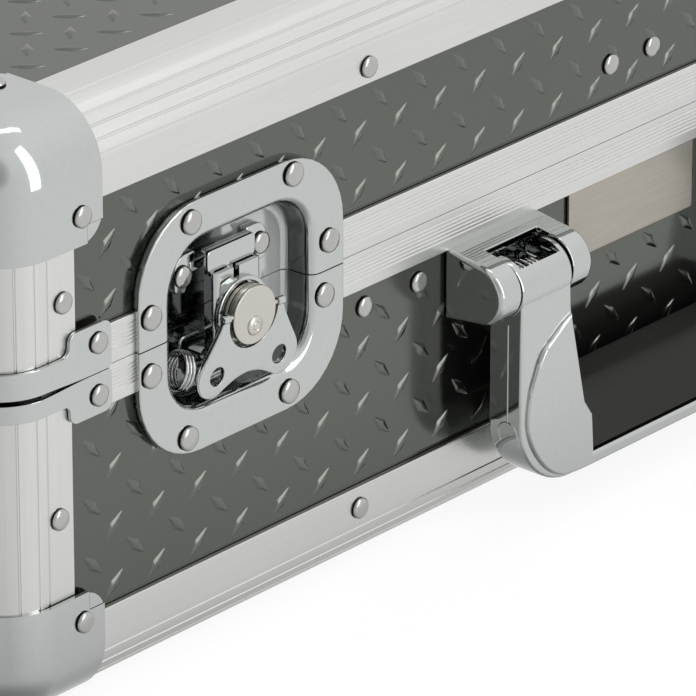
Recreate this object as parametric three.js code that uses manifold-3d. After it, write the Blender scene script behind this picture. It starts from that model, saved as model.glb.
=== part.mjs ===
// An aluminium tool case with a hinged lid, two recessed twist latches and a drop handle.
// Units are millimetres. +X is right, -Y is the front with the latches and the handle, +Z is up.
import * as THREE from "three";
import { mergeVertices } from "three/addons/utils/BufferGeometryUtils.js";
import { RoundedBoxGeometry } from "three/addons/geometries/RoundedBoxGeometry.js";
import Module from "manifold-3d";

const wasm = await Module();
wasm.setup();

// Driving dimensions of the case.
const caseWidth = 550;
const caseDepth = 380;
const baseHeight = 103.5;
const lidHeight = 77.5;
const boardThickness = 9;
const seatGap = 0.3; // between two pieces that touch
const overrun = 5; // how far a cutting tool runs past what it cuts
const weldDistance = 1e-4; // under which two corners of a mesh are one

// Edge and corner extrusions.
const faceWidth = 27; // of each of the two visible faces
const edgeRadius = 16;
const skin = 1.5;
const slotDepth = 10;
const grooveCount = 6;
const grooveWidth = 0.9;
const grooveDepth = 0.45;
const slotNear = skin;
const slotFar = skin + boardThickness + 2 * seatGap;
const innerFace = slotFar + skin;
const slotFloor = faceWidth - slotDepth;
const boardOuter = slotNear + seatGap;
const boardInner = boardOuter + boardThickness;

// Rims that close on each other at the parting line.
const rimHeight = 12.4;
const partingHalf = 0.3;
const rimGrooveCount = 5;
const rimGroovePitch = 1.3;
const rimGrooveWidth = 0.9;
const rimGrooveDepth = 0.4;
const rimSlotDepth = 7;
const tongueNear = 4.8;
const tongueWidth = 2.4;
const tongueHeight = 3;
const tongueClearance = 0.4;

// Pressed corner bands over the ends of the rims.
const sheet = 1.2;
const tabReach = 16; // past the corner post's edge
const tabHeight = 14;
const tabCorner = 3;
const bandTop = 7.6;
const bandGap = 1.5; // from the parting line, at the corner
const bandStart = 1; // from the post's edge, on the post's side
const padDepth = 0.2; // how far a tab is set into the rim
const bandArcSteps = 3;
const tabArcSteps = 2;

// Ball corners.
const ballLeg = 38; // along each edge, from the outside faces
const ballGap = 0.5;
const ballCornerRadius = 8;
const ballSteps = 3;

// Recessed latches.
const latchInset = 97.15; // of the latches' middles from the sides of the case
const dishWidth = 88;
const dishHalfHeight = 39;
const dishCorner = 25;
const openingWidth = 61;
const openingHalfHeight = 25.8;
const openingCorner = 12;
const dishDepth = 10.3; // from the flange's front to the floor
const dishGap = 0.5; // round the pan, in the board
const flangeFront = sheet + seatGap; // of the case's face

// Latch mechanism, in heights above the parting line and depths behind the flange's front.
const axleHeight = -15;
const axleDepth = 4;
const axleRadius = 1.5;
const axleLeftEnd = 26;
const axleRightEnd = 13.8;
const lugThickness = 1.4;
const lugRadius = 3.4;
const runningGap = 0.25;
const armHalfWidth = 9.7;
const armPlate = 1.5;
const armFront = 1;
const armFlangeDepth = 4.7;
const armFlangeCorner = 1;
const armTop = 11;
const armBottom = -12.4;
const armNotchWidth = 4;
const armNotchDepth = 6;
const rotorHeight = -1.7;
const discRadius = 9.6;
const discFront = -5.2;
const discThickness = 2;
const washerRadius = 8.6;
const washerThickness = 1.2;
const hubRadius = 7.5;
const collarWidth = 1.6;
const collarRise = 1.8;
const collarGap = 0.4;
const throwRadius = 2.4; // from the rotor's axis to the rivet
const rivetRadius = 2;
const rivetHeadRadius = 3;
const rivetHeadRise = 0.7;
const rivetTailRadius = 3.5;
const rivetTailThickness = 1;
const hookThickness = 1.8;
const hookGap = 0.5; // behind the arm's plate
const hookHalfWidth = 10.2;
const hookHeadHeight = 6.7;
const hookTop = 17.7;
const hookLip = 3.2; // how far the lip runs back from the hook's front
const hookReach = 0.4; // from the lip to the keeper's bar, which it covers once the arm is pressed home
const hookLipThickness = 1.5;
const hookBottom = -9;
const slotPlay = 0.8;
const keeperHalfWidth = 20.4;
const keeperPlate = 1;
const keeperBottom = 6.6;
const keeperEarHeight = 8.8;
const keeperEarCorner = 3;
const keeperWall = 1.4;
const keeperBarHeight = 3.2;
const keeperBarThickness = 1.5;
const wingPinRadius = 1;
const wingPinHeight = -0.5;
const wingPlate = 1.8;
const wingKnuckle = 2.1;
const wingPinPlay = 0.3;
const wingEarInner = 10.1;
const wingEarOuter = 12.9;
const wingHalfWidth = 20.9;
const wingLength = 23.9;
const wingHoleRadius = 2.9;
const wingHoleSpan = 26.4;
const wingHoleDrop = 17.3;
const wingTilt = 5.5; // degrees, towards the flange
const rotorRest = 3.5; // degrees past square, where the lock comes to rest
const springWire = 1.3;
const springRadius = 4.9; // to the middle of the wire
const springTurns = 5;
const springPitch = 1.95;
const springLeft = 24.7;
const springLegBack = 8.5;
const springLegRise = 8;
const springLegDepth = 6.7;
const springLegEnd = 8.1;
const stepsPerTurn = 8;
const wireSides = 5;

// Handle.
const handleSpan = 130; // between the middles of the two brackets
const bracketWidth = 42;
const earWidth = 9;
const bracketDrop = 15; // of its top, below the parting line
const bracketHeight = 21;
const pivotReach = 13.3; // in front of the board
const bracketWeb = 8.3; // how far its top reaches out over the leg's end
const bracketWall = 2.5;
const webThickness = 1.8;
const handlePinRadius = 3;
const legWidth = 21.6;
const legThickness = 13;
const legShoulder = 26.8; // width of the leg just above the grip
const legFoot = 31.3; // width of the leg beside the grip
const handleBottom = 91; // below the parting line
const barHeight = 4.4;
const handleCorner = 24;
const gripHeight = 22;
const gripDepth = 20;
const gripCorner = 7.5;
const gripFrontCorner = 1; // along its lower front, on the bar
const eyeInset = 0.8;
const cheekWidth = 2.3;
const cheekRadius = 5.5;
const legShell = 6; // thickness of its front where it is hollow round the pin
const hollowDrop = 6.5; // of the hollow's floor below the pin
const footRise = 11.5; // of the foot's shoulder above the grip's underside

// Piano hinge.
const hingeInset = 60; // of its ends from the sides of the case
const knuckleCount = 11;
const knuckleRadius = 3;
const knuckleGap = 0.4;
const hingePinRadius = 1.4;
const leafHeight = 12.4;
const leafThickness = 1.2;
const knuckleSides = 10;

// Name plate.
const plateWidth = 58.8;
const plateHeight = 23;
const plateThickness = 0.8;
const plateDrop = 13; // of its top, below the parting line
const plateCorner = 1;

// Where the case stands: on its ball corners, with the middle of its outside box at the origin.
const ballProud = ballGap + sheet;
const partingHeight = ballProud + baseHeight;
const earReach = pivotReach + bracketHeight / 2;
const frontReach = earReach - boardOuter;
const backReach = seatGap + 2 * knuckleRadius;
const centreY = (frontReach - backReach) / 2;

const halfWidth = caseWidth / 2;
const halfDepth = caseDepth / 2;
const latchMiddle = halfWidth - latchInset;
const hingeLength = caseWidth - 2 * hingeInset;

// Finishes.
function finish(color, roughness, metalness) {
  return new THREE.MeshStandardMaterial({ color, roughness, metalness });
}
const satinAluminium = finish(0xcfd1cc, 0.38, 0.9);
const coatedBoard = finish(0x5f635d, 0.45, 0.3);
const chrome = finish(0xc4c9c6, 0.12, 1);
const satinNickel = finish(0xb7b0a6, 0.3, 1);
const springSteel = finish(0x9a9d9b, 0.25, 1);
const softGrip = finish(0x31342f, 0.55, 0);
const brushedPlate = finish(0xaaa59b, 0.35, 0.8);

// Solid helpers.
function solidOf(geometry) {
  const bare = geometry.clone();
  bare.deleteAttribute("normal");
  bare.deleteAttribute("uv");
  const merged = mergeVertices(bare, weldDistance);
  const vertProperties = merged.attributes.position.array;
  const triVerts = new Uint32Array(merged.index.array);
  return new wasm.Manifold(new wasm.Mesh({ numProp: 3, vertProperties, triVerts }));
}

function geometryOf(solid) {
  const mesh = solid.getMesh();
  const position = new Float32Array(mesh.numVert * 3);
  for (let i = 0; i < mesh.numVert; i++) {
    for (let k = 0; k < 3; k++) position[i * 3 + k] = mesh.vertProperties[i * mesh.numProp + k];
  }
  const geometry = new THREE.BufferGeometry();
  geometry.setAttribute("position", new THREE.BufferAttribute(position, 3));
  geometry.setIndex(new THREE.BufferAttribute(new Uint32Array(mesh.triVerts), 1));
  geometry.computeVertexNormals();
  return geometry;
}

function join(...solids) {
  return solids.reduce((whole, piece) => whole.add(piece));
}

function cut(solid, ...tools) {
  return tools.reduce((rest, tool) => rest.subtract(tool), solid);
}

function outline(points) {
  return new THREE.Shape(points.map(([a, b]) => new THREE.Vector2(a, b)));
}

const axisX = new THREE.Vector3(1, 0, 0);
const axisY = new THREE.Vector3(0, 1, 0);
const axisZ = new THREE.Vector3(0, 0, 1);
const backY = new THREE.Vector3(0, -1, 0);

// A prism of a shape drawn in the two axes across its run, from one place to another along it.
function prism(shape, along, from, to, curveSegments = 4) {
  const geometry = new THREE.ExtrudeGeometry(shape, {
    depth: to - from,
    bevelEnabled: false,
    curveSegments,
  });
  const turn = new THREE.Matrix4();
  if (along === "x") turn.makeBasis(axisY, axisZ, axisX).setPosition(from, 0, 0);
  if (along === "y") turn.makeBasis(axisX, axisZ, backY).setPosition(0, to, 0);
  if (along === "z") turn.makeBasis(axisX, axisY, axisZ).setPosition(0, 0, from);
  return solidOf(geometry.applyMatrix4(turn));
}

function block(x0, x1, y0, y1, z0, z1) {
  const geometry = new THREE.BoxGeometry(x1 - x0, y1 - y0, z1 - z0);
  geometry.translate((x0 + x1) / 2, (y0 + y1) / 2, (z0 + z1) / 2);
  return solidOf(geometry);
}

function rod(radius, along, from, to, a, b, sides = 16) {
  const circle = new THREE.Shape();
  circle.absarc(a, b, radius, 0, Math.PI * 2);
  return prism(circle, along, from, to, sides);
}

// A rectangle with its corners rounded, the radii given from the lower left, going round by the right.
function roundedRectangle(x0, x1, y0, y1, radii) {
  const [r0, r1, r2, r3] = radii;
  const quarter = Math.PI / 2;
  const shape = new THREE.Shape();
  shape.moveTo(x0 + r0, y0);
  shape.lineTo(x1 - r1, y0);
  if (r1) shape.absarc(x1 - r1, y0 + r1, r1, -quarter, 0);
  shape.lineTo(x1, y1 - r2);
  if (r2) shape.absarc(x1 - r2, y1 - r2, r2, 0, quarter);
  shape.lineTo(x0 + r3, y1);
  if (r3) shape.absarc(x0 + r3, y1 - r3, r3, quarter, 2 * quarter);
  shape.lineTo(x0, y0 + r0);
  if (r0) shape.absarc(x0 + r0, y0 + r0, r0, 2 * quarter, 3 * quarter);
  return shape;
}

function addPiece(group, name, solid, material, flip = {}) {
  const mesh = new THREE.Mesh(geometryOf(solid), material);
  mesh.name = name;
  mesh.scale.set(flip.x ? -1 : 1, flip.y ? -1 : 1, flip.z ? -1 : 1);
  group.add(mesh);
  return mesh;
}

// The section of an edge or corner extrusion: its two outside faces lie on the axes, with the grooves
// along the round between them, and a slot behind each face takes a board.
function edgeSection() {
  const points = [[faceWidth, 0]];
  const pitch = Math.PI / 2 / grooveCount;
  const half = Math.asin(grooveWidth / 2 / edgeRadius);
  const onArc = (angle, radius) => [
    edgeRadius - radius * Math.sin(angle),
    edgeRadius - radius * Math.cos(angle),
  ];
  points.push(onArc(0, edgeRadius));
  for (let i = 0; i < grooveCount; i++) {
    const angle = pitch * (i + 0.5);
    points.push(onArc(angle - half, edgeRadius));
    points.push(onArc(angle, edgeRadius - grooveDepth));
    points.push(onArc(angle + half, edgeRadius));
    if (i < grooveCount - 1) points.push(onArc(pitch * (i + 1), edgeRadius));
  }
  points.push(onArc(Math.PI / 2, edgeRadius));
  points.push([0, faceWidth], [slotNear, faceWidth], [slotNear, slotFloor], [slotFar, slotFloor]);
  points.push([slotFar, faceWidth], [innerFace, faceWidth], [innerFace, innerFace]);
  points.push([faceWidth, innerFace], [faceWidth, slotFar], [slotFloor, slotFar]);
  points.push([slotFloor, slotNear], [faceWidth, slotNear]);
  return points;
}

// The region, in two axes, that one member keeps at a mitred corner: as far from the corner along its
// own run as from each outside face, and clear of the round.
function mitreShape(halfRun, face, inward) {
  const clear = edgeRadius + seatGap;
  const deep = faceWidth + seatGap;
  return outline([
    [-halfRun + clear, face - inward * overrun],
    [halfRun - clear, face - inward * overrun],
    [halfRun - clear, face + inward * (clear - seatGap)],
    [halfRun - deep, face + inward * (deep - seatGap)],
    [-halfRun + deep, face + inward * (deep - seatGap)],
    [-halfRun + clear, face + inward * (clear - seatGap)],
  ]);
}

// One half of the case, the base or the lid, as heights from the parting line to its outside face.
function edgeExtrusions(group, half, height, flip) {
  const section = edgeSection();
  for (const [side, sign] of [["front", -1], ["back", 1]]) {
    const face = sign * halfDepth;
    const shape = outline(section.map(([a, b]) => [face - sign * a, height - b]));
    const long = prism(shape, "x", -halfWidth, halfWidth);
    const plan = prism(mitreShape(halfWidth, face, -sign), "z", 0, height + overrun);
    const rise = prism(mitreShape(halfWidth, height, -1), "y", -halfDepth - overrun, halfDepth + overrun);
    const mitred = long.intersect(plan).intersect(rise);
    addPiece(group, half + "_" + side + "_edge", mitred, satinAluminium, flip);
  }
  for (const [side, sign] of [["left", -1], ["right", 1]]) {
    const face = sign * halfWidth;
    const shape = outline(section.map(([a, b]) => [face - sign * a, height - b]));
    const long = prism(shape, "y", -halfDepth, halfDepth);
    const swapped = mitreShape(halfDepth, face, -sign).getPoints().map((p) => [p.y, p.x]);
    const plan = prism(outline(swapped), "z", 0, height + overrun);
    const rise = prism(mitreShape(halfDepth, height, -1), "x", -halfWidth - overrun, halfWidth + overrun);
    const mitred = long.intersect(plan).intersect(rise);
    addPiece(group, half + "_" + side + "_edge", mitred, satinAluminium, flip);
  }
}

const cornerPlaces = [
  ["front_left", -1, -1],
  ["front_right", 1, -1],
  ["back_left", -1, 1],
  ["back_right", 1, 1],
];

function cornerPosts(group, half, height, flip) {
  const section = edgeSection();
  for (const [corner, sx, sy] of cornerPlaces) {
    const shape = outline(section.map(([a, b]) => [sx * (halfWidth - a), sy * (halfDepth - b)]));
    const top = height - edgeRadius - seatGap;
    const long = prism(shape, "z", partingHalf, top);
    const mitre = (face, sign) => outline([
      [sign * (face + overrun), 0],
      [sign * (face + overrun), height],
      [sign * (face - edgeRadius), height - edgeRadius - seatGap],
      [sign * (face - faceWidth - overrun), height - faceWidth - overrun - seatGap],
      [sign * (face - faceWidth - overrun), 0],
    ]);
    const acrossX = prism(mitre(halfWidth, sx), "y", -halfDepth - overrun, halfDepth + overrun);
    const acrossY = prism(mitre(halfDepth, sy), "x", -halfWidth - overrun, halfWidth + overrun);
    addPiece(group, half + "_" + corner + "_post", long.intersect(acrossX).intersect(acrossY),
      satinAluminium, flip);
  }
}

// What the two latches take out of the front board and rim, from the front to the given depth.
function latchCutouts(depth) {
  const halfCut = openingWidth / 2 + sheet + dishGap;
  const rise = openingHalfHeight + sheet + dishGap;
  return [-1, 1].map((side) => {
    const x = side * latchMiddle;
    const front = -halfDepth - overrun;
    return block(x - halfCut, x + halfCut, front, -halfDepth + depth, -overrun, rise);
  });
}

function boards(group, half, height, flip) {
  const low = rimHeight - rimSlotDepth + partingHalf + seatGap;
  const high = height - slotFloor - seatGap;
  const runX = halfWidth - slotFloor - seatGap;
  const runY = halfDepth - slotFloor - seatGap;
  const front = block(-runX, runX, -halfDepth + boardOuter, -halfDepth + boardInner, low, high);
  const back = block(-runX, runX, halfDepth - boardInner, halfDepth - boardOuter, low, high);
  const left = block(-halfWidth + boardOuter, -halfWidth + boardInner, -runY, runY, low, high);
  const right = block(halfWidth - boardInner, halfWidth - boardOuter, -runY, runY, low, high);
  const flat = block(-runX, runX, -runY, runY, height - boardInner, height - boardOuter);
  const frontCut = cut(front, ...latchCutouts(boardInner + overrun));
  addPiece(group, half + "_front_board", frontCut, coatedBoard, flip);
  addPiece(group, half + "_back_board", back, coatedBoard, flip);
  addPiece(group, half + "_left_board", left, coatedBoard, flip);
  addPiece(group, half + "_right_board", right, coatedBoard, flip);
  addPiece(group, half === "base" ? "base_floor_board" : "lid_top_board", flat, coatedBoard, flip);
}

// The rim's section, as depths from the outside face and heights from the parting line.
function rimSection(half) {
  const points = [[0, partingHalf]];
  const slotRoof = rimHeight - rimSlotDepth;
  points.push([0, rimHeight], [slotNear, rimHeight], [slotNear, slotRoof], [slotFar, slotRoof]);
  points.push([slotFar, rimHeight], [innerFace, rimHeight], [innerFace, partingHalf]);
  const far = tongueNear + tongueWidth;
  if (half === "base") {
    points.push([far, partingHalf], [far, -tongueHeight]);
    points.push([tongueNear, -tongueHeight], [tongueNear, partingHalf]);
  } else {
    const roof = tongueHeight + tongueClearance;
    points.push([far + tongueClearance, partingHalf], [far + tongueClearance, roof]);
    points.push([tongueNear - tongueClearance, roof], [tongueNear - tongueClearance, partingHalf]);
  }
  return points;
}

// A pressed band that wraps one corner at the parting line, with a tall tab at each end.
function cornerBand(sx, sy) {
  const inner = -seatGap;
  const outer = -seatGap - sheet;
  const end = faceWidth + tabReach;
  const shape = new THREE.Shape();
  shape.moveTo(end, outer);
  shape.lineTo(edgeRadius, outer);
  shape.absarc(edgeRadius, edgeRadius, edgeRadius - outer, -Math.PI / 2, -Math.PI, true);
  shape.lineTo(outer, end);
  shape.lineTo(inner, end);
  shape.lineTo(inner, edgeRadius);
  shape.absarc(edgeRadius, edgeRadius, edgeRadius - inner, -Math.PI, -Math.PI / 2, false);
  shape.lineTo(end, inner);
  const place = (p) => [sx * (halfWidth - p.x), sy * (halfDepth - p.y)];
  const placed = outline(shape.getPoints(bandArcSteps).map(place));
  const tall = prism(placed, "z", partingHalf, tabHeight);
  const tabStart = faceWidth - bandStart;
  const reach = (near, size, sign) => {
    const ends = [sign * (size + overrun), sign * (size - near)];
    return [Math.min(...ends), Math.max(...ends)];
  };
  const above = block(...reach(tabStart, halfWidth, sx), ...reach(tabStart, halfDepth, sy),
    bandTop, tabHeight + overrun);
  const gapStart = faceWidth - tabCorner;
  const below = block(...reach(gapStart, halfWidth, sx), ...reach(gapStart, halfDepth, sy), 0, bandGap);
  const trimmed = cut(tall, above, below);
  const rounding = (half, sign) => {
    const frame = roundedRectangle(-half - overrun, -half + end, 0, tabHeight, [0, tabCorner, tabCorner, 0]);
    return outline(frame.getPoints(tabArcSteps).map((p) => [-sign * p.x, p.y]));
  };
  const roundX = prism(rounding(halfWidth, sx), "y", -halfDepth - overrun, halfDepth + overrun);
  const roundY = prism(rounding(halfDepth, sy), "x", -halfWidth - overrun, halfWidth + overrun);
  return trimmed.intersect(roundX).intersect(roundY);
}

// The pad that sets a band's tab into the end of the rim behind it.
function tabPads(sx, sy) {
  const near = faceWidth + tabCorner;
  const far = faceWidth + tabReach - tabCorner;
  const low = bandGap;
  const high = rimHeight - bandGap;
  const between = (sign, a, b) => [Math.min(sign * a, sign * b), Math.max(sign * a, sign * b)];
  const proud = seatGap + padDepth;
  const sunk = rimGrooveDepth + padDepth;
  const onX = between(sx, halfWidth - near, halfWidth - far);
  const onY = between(sy, halfDepth - near, halfDepth - far);
  const outY = between(sy, halfDepth + proud, halfDepth - sunk);
  const outX = between(sx, halfWidth + proud, halfWidth - sunk);
  return [block(...onX, ...outY, low, high), block(...outX, ...onY, low, high)];
}

// One straight rim along a face of the case, with its fine grooves between the corner bands.
function straightRim(section, along, face, sign, halfSize) {
  const run = halfSize - faceWidth - seatGap;
  const grooveRun = run - tabReach;
  const solid = prism(outline(section.map(([d, z]) => [face - sign * d, z])), along, -run, run);
  const first = (rimHeight - (rimGrooveCount - 1) * rimGroovePitch) / 2;
  const grooves = [];
  for (let i = 0; i < rimGrooveCount; i++) {
    const z = first + i * rimGroovePitch;
    const out = face + sign * rimGrooveDepth;
    const deep = face - sign * rimGrooveDepth;
    const vee = outline([[out, z - rimGrooveWidth], [out, z + rimGrooveWidth], [deep, z]]);
    grooves.push(prism(vee, along, -grooveRun, grooveRun));
  }
  return cut(solid, ...grooves);
}

function rim(group, half, flip) {
  const section = rimSection(half);
  const whole = straightRim(section, "x", -halfDepth, -1, halfWidth);
  const front = cut(whole, ...latchCutouts(slotFar - padDepth));
  const back = straightRim(section, "x", halfDepth, 1, halfWidth);
  const left = straightRim(section, "y", -halfWidth, -1, halfDepth);
  const right = straightRim(section, "y", halfWidth, 1, halfDepth);
  const bands = cornerPlaces.map(([, sx, sy]) => cornerBand(sx, sy));
  const pads = cornerPlaces.flatMap(([, sx, sy]) => tabPads(sx, sy));
  const all = join(front, back, left, right, ...bands, ...pads);
  addPiece(group, half + "_rim", all, satinAluminium, flip);
}

function ballCorners(group, half, height, flip) {
  const size = 4 * ballLeg;
  const shell = (gap) => {
    const box = new RoundedBoxGeometry(size, size, size, ballSteps, edgeRadius + gap);
    box.translate(size / 2 - gap, size / 2 - gap, size / 2 - gap);
    return solidOf(box);
  };
  const hollow = cut(shell(ballProud), shell(ballGap));
  const face = roundedRectangle(-overrun, ballLeg, -overrun, ballLeg, [0, 0, ballCornerRadius, 0]);
  const corner = ["x", "y", "z"].reduce(
    (solid, along) => solid.intersect(prism(face, along, -overrun, ballLeg, 3)),
    hollow,
  );
  for (const [name, sx, sy] of cornerPlaces) {
    const mesh = addPiece(group, half + "_" + name + "_ball", corner, chrome);
    mesh.scale.set(-sx, -sy, flip.z ? 1 : -1);
    mesh.position.set(sx * halfWidth, sy * halfDepth, flip.z ? -height : height);
  }
}

function caseHalf(group, half, height, flip) {
  boards(group, half, height, flip);
  edgeExtrusions(group, half, height, flip);
  cornerPosts(group, half, height, flip);
  rim(group, half, flip);
  ballCorners(group, half, height, flip);
}

const root = new THREE.Group();
const body = new THREE.Group();
body.position.set(0, centreY, partingHeight);
root.add(body);
caseHalf(body, "base", baseHeight, { z: true });
caseHalf(body, "lid", lidHeight, {});

// One half of a latch's pressed dish, in heights from the parting line and depths behind its flange.
function dishHalf() {
  const flangeShape = roundedRectangle(-dishWidth / 2, dishWidth / 2, partingHalf, dishHalfHeight,
    [0, 0, dishCorner, dishCorner]);
  const wide = openingWidth / 2;
  const opening = (grow, low) => roundedRectangle(-wide - grow, wide + grow, low, openingHalfHeight + grow,
    [0, 0, openingCorner + grow, openingCorner + grow]);
  const flange = prism(flangeShape, "y", 0, sheet);
  const pan = prism(opening(sheet, partingHalf), "y", 0, dishDepth + sheet);
  return cut(join(flange, pan), prism(opening(0, -overrun), "y", -overrun, dishDepth));
}

// The lower dish also carries the axle of the arm, between two lugs that stand up from its floor.
function axleAndLugs() {
  const lug = (x) => {
    const plate = roundedRectangle(axleDepth - lugRadius, dishDepth + padDepth, axleHeight - lugRadius,
      axleHeight + lugRadius, [lugRadius, 0, 0, lugRadius]);
    return prism(plate, "x", x - lugThickness / 2, x + lugThickness / 2, 4);
  };
  const axle = rod(axleRadius, "x", -axleLeftEnd, axleRightEnd, axleDepth, axleHeight, 5);
  return join(lug(-axleLeftEnd), lug(axleRightEnd), axle);
}

// The arm stands on the axle: a plate with two side flanges, and a raised collar round the rotor.
function arm() {
  const back = armFront + armPlate;
  const plate = cut(
    block(-armHalfWidth, armHalfWidth, armFront, back, armBottom, armTop),
    block(-armNotchWidth / 2, armNotchWidth / 2, armFront - overrun, back + overrun, armTop - armNotchDepth,
      armTop + overrun),
  );
  const flange = (x) => {
    const shape = roundedRectangle(armFront, armFront + armFlangeDepth, axleHeight, armTop,
      [0, 0, armFlangeCorner, 0]);
    const end = x + armPlate;
    const knuckle = rod(lugRadius, "x", x, end, axleDepth, axleHeight, 5);
    const eye = rod(axleRadius + runningGap, "x", x - overrun, end + overrun, axleDepth, axleHeight, 5);
    return cut(join(prism(shape, "x", x, end, 2), knuckle), eye);
  };
  const collarInner = washerRadius + collarGap;
  const collarFront = armFront - collarRise;
  const collar = rod(collarInner + collarWidth, "y", collarFront, armFront + padDepth, 0, rotorHeight, 7);
  const sides = join(flange(-armHalfWidth), flange(armHalfWidth - armPlate));
  const bore = rod(hubRadius + collarGap, "y", armFront - overrun, back + overrun, 0, rotorHeight, 6);
  const sink = rod(collarInner, "y", armFront - overrun, armFront, 0, rotorHeight, 6);
  return cut(join(plate, sides, collar), bore, sink);
}

const hookFront = armFront + armPlate + hookGap;
const hookBack = hookFront + hookThickness;

// The hook slides up behind the arm as the rivet goes round, and its lip runs back over the keeper.
function hook() {
  const stemHalf = armHalfWidth - armPlate - seatGap;
  const headLow = hookTop - hookHeadHeight;
  const stem = block(-stemHalf, stemHalf, hookFront, hookBack, hookBottom, hookTop - hookLipThickness);
  const head = block(-hookHalfWidth, hookHalfWidth, hookFront, hookBack, headLow, hookTop);
  const lip = block(-hookHalfWidth, hookHalfWidth, hookFront, hookFront + hookLip, hookTop - hookLipThickness,
    hookTop);
  const rivetHeight = rotorHeight - throwRadius;
  const slotHalf = throwRadius + rivetRadius + slotPlay;
  const slotRise = rivetRadius + slotPlay;
  const slot = block(-slotHalf, slotHalf, hookFront - overrun, hookBack + overrun, rivetHeight - slotRise,
    rivetHeight + slotRise);
  return cut(join(stem, head, lip), slot);
}

// The rotor turns in the arm: a disc over a washer and a hub, with the rivet through it off centre.
function rotor() {
  const discBack = discFront + discThickness;
  const washerBack = discBack + washerThickness;
  const hubBack = hookFront - runningGap;
  const disc = rod(discRadius, "y", discFront, discBack, 0, 0, 12);
  const neck = rod(hubRadius, "y", discBack - padDepth, hubBack, 0, 0, 6);
  const washer = rod(washerRadius, "y", washerBack, washerBack + washerThickness, 0, 0, 8);
  const head = rod(rivetHeadRadius, "y", discFront - rivetHeadRise, discFront + padDepth, 0, -throwRadius, 6);
  const tailFront = hookBack + runningGap;
  const tailBack = tailFront + rivetTailThickness;
  const shank = rod(rivetRadius, "y", discFront, tailBack, 0, -throwRadius, 5);
  const tail = rod(rivetTailRadius, "y", tailFront, tailBack, 0, -throwRadius, 5);
  const pinDepth = discFront + discThickness / 2;
  const pins = rod(wingPinRadius, "x", -wingEarOuter, wingEarOuter, pinDepth, wingPinHeight - rotorHeight, 3);
  return join(disc, neck, washer, head, shank, tail, pins);
}

// The wing's outline below its pins, on one side, as shares of its half width and its length.
const wingShares = [
  [0.66, 0.14], [0.82, 0.38], [0.96, 0.58], [1, 0.7], [0.98, 0.83], [0.89, 0.94], [0.74, 1],
  [0.6, 0.99], [0.44, 0.92], [0.22, 0.84], [0, 0.81],
];

// The wing folds on the rotor's two pins: a flat plate with a knuckle at each ear.
function wing() {
  const side = wingShares.map(([across, down]) => [across * wingHalfWidth, -down * wingLength]);
  const other = side.slice(0, -1).reverse().map(([x, z]) => [-x, z]);
  const shape = outline([[wingEarInner, 0], [wingEarOuter, 0], ...side, ...other, [-wingEarOuter, 0],
    [-wingEarInner, 0]]);
  const plate = prism(shape, "y", -wingPlate / 2, wingPlate / 2);
  const drop = rotorHeight - wingPinHeight;
  const bite = rod(wingEarInner, "y", -overrun, overrun, 0, drop, 9);
  const biteTop = block(-wingEarInner, wingEarInner, -overrun, overrun, drop, overrun);
  const holes = [-1, 1].map((s) => rod(wingHoleRadius, "y", -overrun, overrun, (s * wingHoleSpan) / 2,
    -wingHoleDrop, 5));
  const knuckles = [[-wingEarOuter, -wingEarInner], [wingEarInner, wingEarOuter]]
    .map(([from, to]) => rod(wingKnuckle, "x", from, to, 0, 0, 4));
  const pinBore = rod(wingPinRadius + wingPinPlay, "x", -wingHalfWidth, wingHalfWidth, 0, 0, 3);
  return cut(join(cut(plate, bite, biteTop, ...holes), ...knuckles), pinBore);
}

// The keeper is riveted to the floor of the upper dish, and its bar lies just below the hook's lip.
function keeper() {
  const plateFront = dishDepth - seatGap - keeperPlate;
  const earTop = keeperBottom + keeperEarHeight;
  const ear = roundedRectangle(-keeperHalfWidth, keeperHalfWidth, keeperBottom, earTop,
    Array(4).fill(keeperEarCorner));
  const plate = prism(ear, "y", plateFront, plateFront + keeperPlate, 3);
  const barTop = hookTop - hookLipThickness - seatGap;
  const barFront = hookFront + hookLip + hookReach;
  const wallInner = hookHalfWidth + 2 * seatGap;
  const walls = [-1, 1].map((s) => {
    const [from, to] = [s * wallInner, s * (wallInner + keeperWall)].sort((a, b) => a - b);
    return block(from, to, barFront, plateFront + padDepth, keeperBottom + keeperEarCorner, barTop);
  });
  const bar = block(-wallInner - padDepth, wallInner + padDepth, barFront, barFront + keeperBarThickness,
    barTop - keeperBarHeight, barTop);
  return join(plate, ...walls, bar);
}

// A torsion spring as one unbroken tube: a leg down the floor, the turns, and a leg behind the arm.
function springPath() {
  const points = [];
  const place = (angle, x) => new THREE.Vector3(x, axleDepth + springRadius * Math.cos(angle),
    axleHeight + springRadius * Math.sin(angle));
  const total = springTurns * stepsPerTurn;
  const step = (Math.PI * 2) / stepsPerTurn;
  const startX = -springLeft;
  const first = place(0, startX);
  points.push(first.clone().add(new THREE.Vector3(0, 0, -springLegBack)));
  for (let i = 0; i <= total; i++) {
    points.push(place(i * step, startX + (springPitch * i) / stepsPerTurn));
  }
  const last = points[points.length - 1];
  points.push(new THREE.Vector3(last.x, springLegDepth, axleHeight + springLegRise));
  points.push(new THREE.Vector3(-springLegEnd, springLegDepth, axleHeight + springLegRise));
  return points;
}

// The least gap between two turns, from steps of the wire that are most of a turn apart.
function springGap(points) {
  const apart = Math.round(stepsPerTurn * 0.75);
  let least = Infinity;
  for (let i = 0; i < points.length; i++) {
    for (let j = i + apart; j < points.length; j++) {
      least = Math.min(least, points[i].distanceTo(points[j]));
    }
  }
  return least - springWire;
}

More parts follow.
